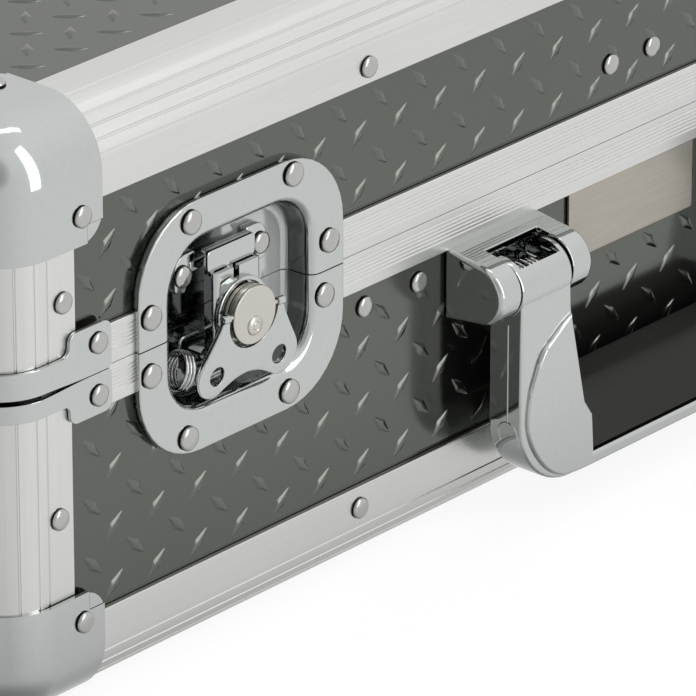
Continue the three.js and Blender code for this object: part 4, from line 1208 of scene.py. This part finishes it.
turns = []
for i in range(spring_turns * wire_steps + 1):
    a = 2 * math.pi * i / wire_steps
    x = spring_pitch * (i / wire_steps - spring_turns / 2)
    turns.append(spring_middle + spring_lean @ Vector((x, spring_radius * math.cos(a),
                                                       spring_radius * math.sin(a))))
down = [turns[0] + Vector((0, 0, z)) for z in (-6.5, -3, -0.8)]
leg_turns = [Vector((x, 7.4, axle_height + 8)) for x in (turns[-1].x, -8.1)]
up = bent_line([turns[-1]] + leg_turns, 1.8)
spring = wire(down + turns + up[1:], spring_wire / 2)
set_in_latches(spring, "torsion_spring", "base", "spring", spring_steel, 60)

# The handle's brackets: chromed castings riveted through the front board, each with two round-nosed ears, a
# web between their tops and a pin. A pair of small return springs sits on the pin, inside the leg's hollow
# end.
handle_y = centre_y - case_half_depth + board_outer
handle_z = 79.7
bracket_centres = (-65, 65)
pivot_reach = 13.3
nose_radius = 9.65
nose_lift = 0.85
ear_span = (12, 21)
web_reach = 8.3
pin_radius = 3
pin_half = 14
coil_turns = 3
coil_radius = 4.3
coil_steps = 20
nose = arc_points(-pivot_reach, nose_lift, nose_radius, 90, 270, 18) + [(-0.3, -10.3), (-0.3, 12.4)]
pockets = [box(-ear_span[0], ear_span[0], -40, -web_reach, -20, 20),
           box(-ear_span[0], ear_span[0], -web_reach - 1, -seat_gap - 2.5, -20, 8.7)]
bracket = worked(flat_plate([nose], -ear_span[1], ear_span[1], 1.7, "side", 3), 0.35, angle=50,
                 cutters=pockets)
add_to(bracket, round_rod(pin_radius, (-pin_half, -pivot_reach, 0), (pin_half, -pivot_reach, 0)))
coils = bmesh.new()
for s in (-1, 1):
    line = []
    for i in range(coil_turns * coil_steps + 1):
        a = math.pi * 0.5 + 2 * math.pi * i / coil_steps
        line.append(Vector((s * (1.2 + 1.6 * i / coil_steps), -pivot_reach + coil_radius * math.cos(a),
                            coil_radius * math.sin(a))))
    start, end = line[0], line[-1]
    line = [start + Vector((-s * 0.1, 8.0, -0.4)), start + Vector((0, 3.0, 0.2))] + line
    line += [end + Vector((s * 0.1, 3.0, 0.2)), end + Vector((s * 0.2, 8.6, 1.6))]
    add_to(coils, wire(line, 0.55, 8))
for side_name, x in zip(("left", "right"), bracket_centres):
    name = f"handle_{side_name}_"
    set_bracket, set_coils = (moved(bm.copy(), x, handle_y, handle_z) for bm in (bracket, coils))
    finish_piece(name + "bracket_casting", set_bracket, chrome, "base", name + "bracket")
    finish_piece(name + "return_springs", set_coils, spring_steel, "base", sharp=60)

# The handle's bow: one chromed casting, two legs that widen into feet and a bar that joins them under the
# grip. A raised face sweeps over each foot, and a casting seam runs down the outside of each leg.
leg_outer = 75.8
leg_inner = 54.2
leg_front = -23
leg_thickness = 13.8
bow_low = -66.6
bar_height = 5.1
bow_corner = 24
grip_low = bow_low + bar_height
shoulder = leg_outer - 27.8
foot = leg_outer - 32.2
step_high = -43.2
step_low = -48.6
eye_radius = 9.6
inner_edge = [(leg_inner - 1, 0), (leg_inner - 1.4, -10.8), (shoulder - 0.7, step_high),
              (foot + 0.1, step_low), (foot - 0.9, grip_low)]
bow_outline = [(-leg_outer, 0)]
for side, start in ((-1, 180), (1, 270)):
    x = side * (leg_outer - bow_corner)
    bow_outline += arc_points(x, bow_low + bow_corner, bow_corner, start, start + 90, 14)
bow_outline += [(leg_outer, 0)] + inner_edge + other_side(inner_edge)
bow = flat_plate([bow_outline], leg_front + 0.8, leg_front + leg_thickness, 1.1, steps=2)
crease = flowing([(53.6, -12.6), (57.6, -14.6), (63.7, -18.7), (66.2, -20.5), (68.6, -24.0), (70.3, -27.8),
                  (71.9, -31.6), (72.7, -35.5), (73.4, -40.0), (73.3, -44.7), (71.4, -50.8), (67.8, -56.7),
                  (63.2, -61.5), (57.8, -64.6), (51, -65.8), (44, -66.0)], 3)
over_grip = [(x - 0.2, z) for x, z in inner_edge[2:-1]] + [(foot - 0.9, grip_low - 0.2)]
raised = other_side(crease[::-1]) + crease[::-1] + over_grip + other_side(over_grip)
add_to(bow, flat_plate([raised], leg_front - 0.5, leg_front + 5, 1.2, steps=2))
seam_depth = -16.8
arch = arc_points(seam_depth, -46.4, 3.6, 180, 0, 12)
seam_lines = [[(seam_depth, z) for z in range(-11, -44, -4)],
              [(arch[0][0], -50)] + arch + [(arch[-1][0], -50)]]


def outside_at(z):
    """How far out the bow's outer side is at a height, with its rounded lower corner."""
    below = max(0, bow_low + bow_corner - z)
    return leg_outer - bow_corner + math.sqrt(bow_corner ** 2 - below ** 2) - 0.12


for s in (-1, 1):
    ends = sorted((s * (leg_inner - 0.8), s * (leg_outer + 0.4)))
    eye = ring_points(-pivot_reach, 0, eye_radius, 40)
    cheek_tools = [box(ends[0] + 2.3, ends[1] - 2.3, -pivot_reach - 6.3, 2, -6.5, 20),
                   box(ends[0] - 5, ends[1] + 5, -pivot_reach + 1.2, 2, 2.2, 20)]
    add_to(bow, worked(flat_plate([eye], *ends, 0.9, "side"), cutters=cheek_tools))
    for path in seam_lines:
        add_to(bow, wire([Vector((s * outside_at(z), d, z)) for d, z in path], 0.32, 8))
finish_piece("handle_bow_casting", moved(bow, 0, handle_y, handle_z), chrome, "handle",
             "handle_bow")

# The grip: black rubber moulded over the bow's bar. It is flat in front, and its back edges are well
# rounded for the fingers.
soft_grip = make_finish("black_moulded_grip", (0.022, 0.0235, 0.020), 0.50, metallic=0, grain_scale=1400,
                        smudge_scale=12, tone=0.18, unevenness=0.06, relief=0.00003)
soft_grip.node_tree.nodes["Principled BSDF"].inputs["Specular IOR Level"].default_value = 0.2
grip_depth = 20
grip_height = 22
grip_front, grip_foot = leg_front + 0.3, grip_low + 0.3
grip_section = rounded_box(grip_front, grip_front + grip_depth, grip_foot, grip_foot + grip_height,
                           (1.2, 7.5, 7.5, 5.5), 8)
grip_rings = [[(x, d, z) for d, z in grip_section] for x in (-shoulder + 0.9, -30, 0, 30, shoulder - 0.9)]
grip_tools = []
for s in (-1, 1):
    beyond = [(s * 90, -80), (s * (foot - 0.1), -80), (s * (foot + 0.3), step_low + 0.2),
              (s * (shoulder - 0.4), step_high + 0.4), (s * 90, step_high + 0.4)]
    grip_tools.append(loft([[(x, d, z) for x, z in beyond] for d in (leg_front - 5, leg_front + 30)], beyond))
grip = worked(loft(grip_rings, grip_section), 0.8, segments=3, angle=45, cutters=grip_tools)
finish_piece("handle_grip_moulding", moved(grip, 0, handle_y, handle_z), soft_grip, "handle",
             "handle_grip")

# The name plate: a thin strip of brushed champagne aluminium with its corners a little rounded, glued to
# the front board between the latches.
brushed_plate = make_finish("brushed_champagne_plate", (0.42, 0.395, 0.345), 0.30, metallic=0.9,
                            stretch=(0.03, 1, 1), grain_scale=1500, smudge_scale=20, tone=0.12,
                            unevenness=0.05, relief=0.000015)
plate_half_width = 29.4
plate_drops = (36, 13)
plate_thickness = 0.8
plate_back = centre_y - case_half_depth + 1.5
plate_line = rounded_box(-plate_half_width, plate_half_width, *(parting - drop for drop in plate_drops),
                         (1,) * 4)
plate = flat_plate([plate_line], plate_back - plate_thickness, plate_back, 0.2)
finish_piece("name_plate_strip", plate, brushed_plate, "base", "name_plate")

# The piano hinge: two aluminium leaves with rolled knuckles round one long pin. The leaves are riveted on
# the back of the rims.
hinge_half = 215
knuckle_count = 11
knuckle_radius = 3
knuckle_bore = 1.7
hinge_pin_radius = 1.4
leaf_height = 12.4
leaf_thickness = 1.2
hinge_back = centre_y + case_half_depth + seat_gap
hinge_y = hinge_back + knuckle_radius
knuckle_run = 2 * hinge_half / knuckle_count
for half, sign, first in (("lid", 1, 1), ("base", -1, 0)):
    low, high = sorted((parting + sign * 3.4, parting + sign * (parting_half + leaf_height)))
    leaf = worked(box(-hinge_half, hinge_half, hinge_back, hinge_back + leaf_thickness, low, high), 0.3)
    for i in range(first, knuckle_count, 2):
        start = -hinge_half + i * knuckle_run + 0.2
        end = start + knuckle_run - 0.4
        length = end - start
        barrel = [(knuckle_bore, 0), (knuckle_radius - 0.3, 0), (knuckle_radius, 0.3),
                  (knuckle_radius, length - 0.3), (knuckle_radius - 0.3, length), (knuckle_bore, length)]
        add_to(leaf, revolve(barrel, (start, hinge_y, parting), (1, 0, 0), 24, closed=True))
        low, high = sorted((parting + sign * 0.6, parting + sign * 3.5))
        add_to(leaf, box(start, end, hinge_back + 0.02, hinge_back + leaf_thickness - 0.02, low, high))
    name = f"hinge_{half}_leaf"
    finish_piece(name + "_rolled", leaf, drawn_along[0], half, name, 35)
pin = round_rod(hinge_pin_radius, (-hinge_half, hinge_y, parting), (hinge_half, hinge_y, parting), 0.4, 20)
finish_piece("hinge_pin_wire", pin, spring_steel, "base", "hinge_pin", 35)

# The rivets: nickel-plated domes on every pressed part, extrusion and board, set as they are on the real
# case, and small ones on the hinge.
rivet_nickel = make_finish("rivet_nickel", (0.455, 0.457, 0.438), 0.14, smudge_scale=60, tone=0.05)
rivet_tree, rivet_shader, rivet_color, rivet_gloss = open_finish(rivet_nickel)
# Painted shade: the rivets' lowest rim is coloured near black and made rougher, standing in for the shade
# where each head meets its face.
painted_rim_shade = add_node(rivet_tree, "ShaderNodeAttribute", attribute_name="painted_rim_shade").outputs["Fac"]
feed(rivet_tree, rivet_shader["Base Color"],
     blend_colors(rivet_tree, painted_rim_shade, rivet_color, (0.012, 0.012, 0.012)))
feed(rivet_tree, rivet_shader["Roughness"],
     do_math(rivet_tree, "MULTIPLY_ADD", painted_rim_shade, 0.6, rivet_gloss, clamp=True))
rivet_line = [(0, 0.45), (0.3, 0.44), (0.55, 0.415), (0.74, 0.38), (0.87, 0.34), (0.94, 0.295), (0.98, 0.245),
              (1.0, 0.18), (1.0, 0.12), (0.985, 0.0), (0.90, 0.0), (0.90, -0.05)]
rivet_blank = revolve([(r * MM, d * MM) for r, d in rivet_line], (0, 0, 0), (0, 0, 1), 24)
bmesh.ops.recalc_face_normals(rivet_blank, faces=rivet_blank.faces)
rivet_mesh = as_mesh("rivet", rivet_blank)
# Marks each rivet's lowest rim for the painted shade.
rim_shade_values = rivet_mesh.attributes.new("painted_rim_shade", "FLOAT", "POINT")
rim_shade_values.data.foreach_set("value", [float(v.co.z < 0.13 * MM) for v in rivet_mesh.vertices])
rivet_part = stand("rivet", rivet_mesh)
small_rivet, keeper_rivet, large_rivet, hinge_rivet = 3.3, 3.4, 3.75, 2.3
post_rivets = {"base": (22.2, 41.8), "lid": (24.9, 24.0)}
tab_rivet = (37.5, 8.1)
keeper_rivets = ((-16.5, 12.4), (16.5, 12.4))
side_rivet = 60
hinge_rivet_pitch = 41
hinge_rivet_height = 8
edge_rivets = {"base": (125.3, 20.0), "lid": (121.5, 21.6)}
board_rivets = {"base": ((121.3, 97.3), 84.9), "lid": ((9.7,), 127.6)}
flange_rivets = {"base": [(-38.25, -9.5), (35.25, -8.6), (-23.15, -34.1), (19.95, -34.0)],
                 "lid": [(-21.05, 32.4), (22.05, 33.6), (37.45, 8.0), (-37.95, 8.4)]}
front_face, back_face = centre_y - case_half_depth, centre_y + case_half_depth


def rivet_at(x, y, z, out, size=small_rivet):
    return (x, y, z), out, Z if out.x else X, size


def corner_pair(sx, sy, inward, proud, z):
    """A rivet on each upright face of a corner, in from the corner's edge and proud of the face."""
    x, y = sx * case_half_width, centre_y + sy * case_half_depth
    return [rivet_at(x - sx * inward, y + sy * proud, z, Y * sy),
            rivet_at(x + sx * proud, y - sy * inward, z, X * sx)]


for half, (sign, height) in halves.items():
    spots = []
    end_z = parting + sign * height
    reach_x, reach_y, reach_z = ball_reaches[half]
    to_x, to_z = rivet_from_edge
    for sx, sy in corners.values():
        spots += corner_pair(sx, sy, reach_x - to_x, ball_proud, end_z - sign * (reach_z - to_z))
        x, y = sx * (case_half_width - reach_x + to_x), centre_y + sy * (case_half_depth - reach_y + to_z)
        spots.append(rivet_at(x, y, end_z + sign * ball_proud, Z * sign))
        spots += corner_pair(sx, sy, tab_rivet[0], seat_gap + sheet, parting + sign * tab_rivet[1])
        spots += corner_pair(sx, sy, post_rivets[half][0], 0, parting + sign * post_rivets[half][1])
    edge_x, edge_z = edge_rivets[half][0], end_z - sign * edge_rivets[half][1]
    board_xs, board_z = board_rivets[half]
    for s in (-1, 1):
        spots += [rivet_at(s * edge_x, front_face, edge_z, -Y), rivet_at(s * edge_x, back_face, edge_z, Y)]
        spots += [rivet_at(s * case_half_width, centre_y + t * side_rivet, edge_z, X * s) for t in (-1, 1)]
        spots += [rivet_at(s * x, front_face + board_outer, board_z, -Y) for x in board_xs]
        spots += [rivet_at(s * latch_middle + x, latch_front, parting + z, -Y, large_rivet)
                  for x, z in flange_rivets[half]]
        if half == "lid":
            middle = s * latch_middle + keeper_shift
            spots += [rivet_at(middle + x, latch_front + keeper_front, parting + z, -Y, keeper_rivet)
                      for x, z in keeper_rivets]
    set_on_points(f"{half}_rivets", spots, rivet_part, rivet_nickel, half, 50)
    hinge_spots = [rivet_at(hinge_rivet_pitch * i, back_face + seat_gap + leaf_thickness,
                            parting + sign * hinge_rivet_height, Y, hinge_rivet) for i in range(-5, 6)]
    set_on_points(f"{half}_hinge_rivets", hinge_spots, rivet_part, rivet_nickel, half, 50)
bpy.data.objects.remove(rivet_part)
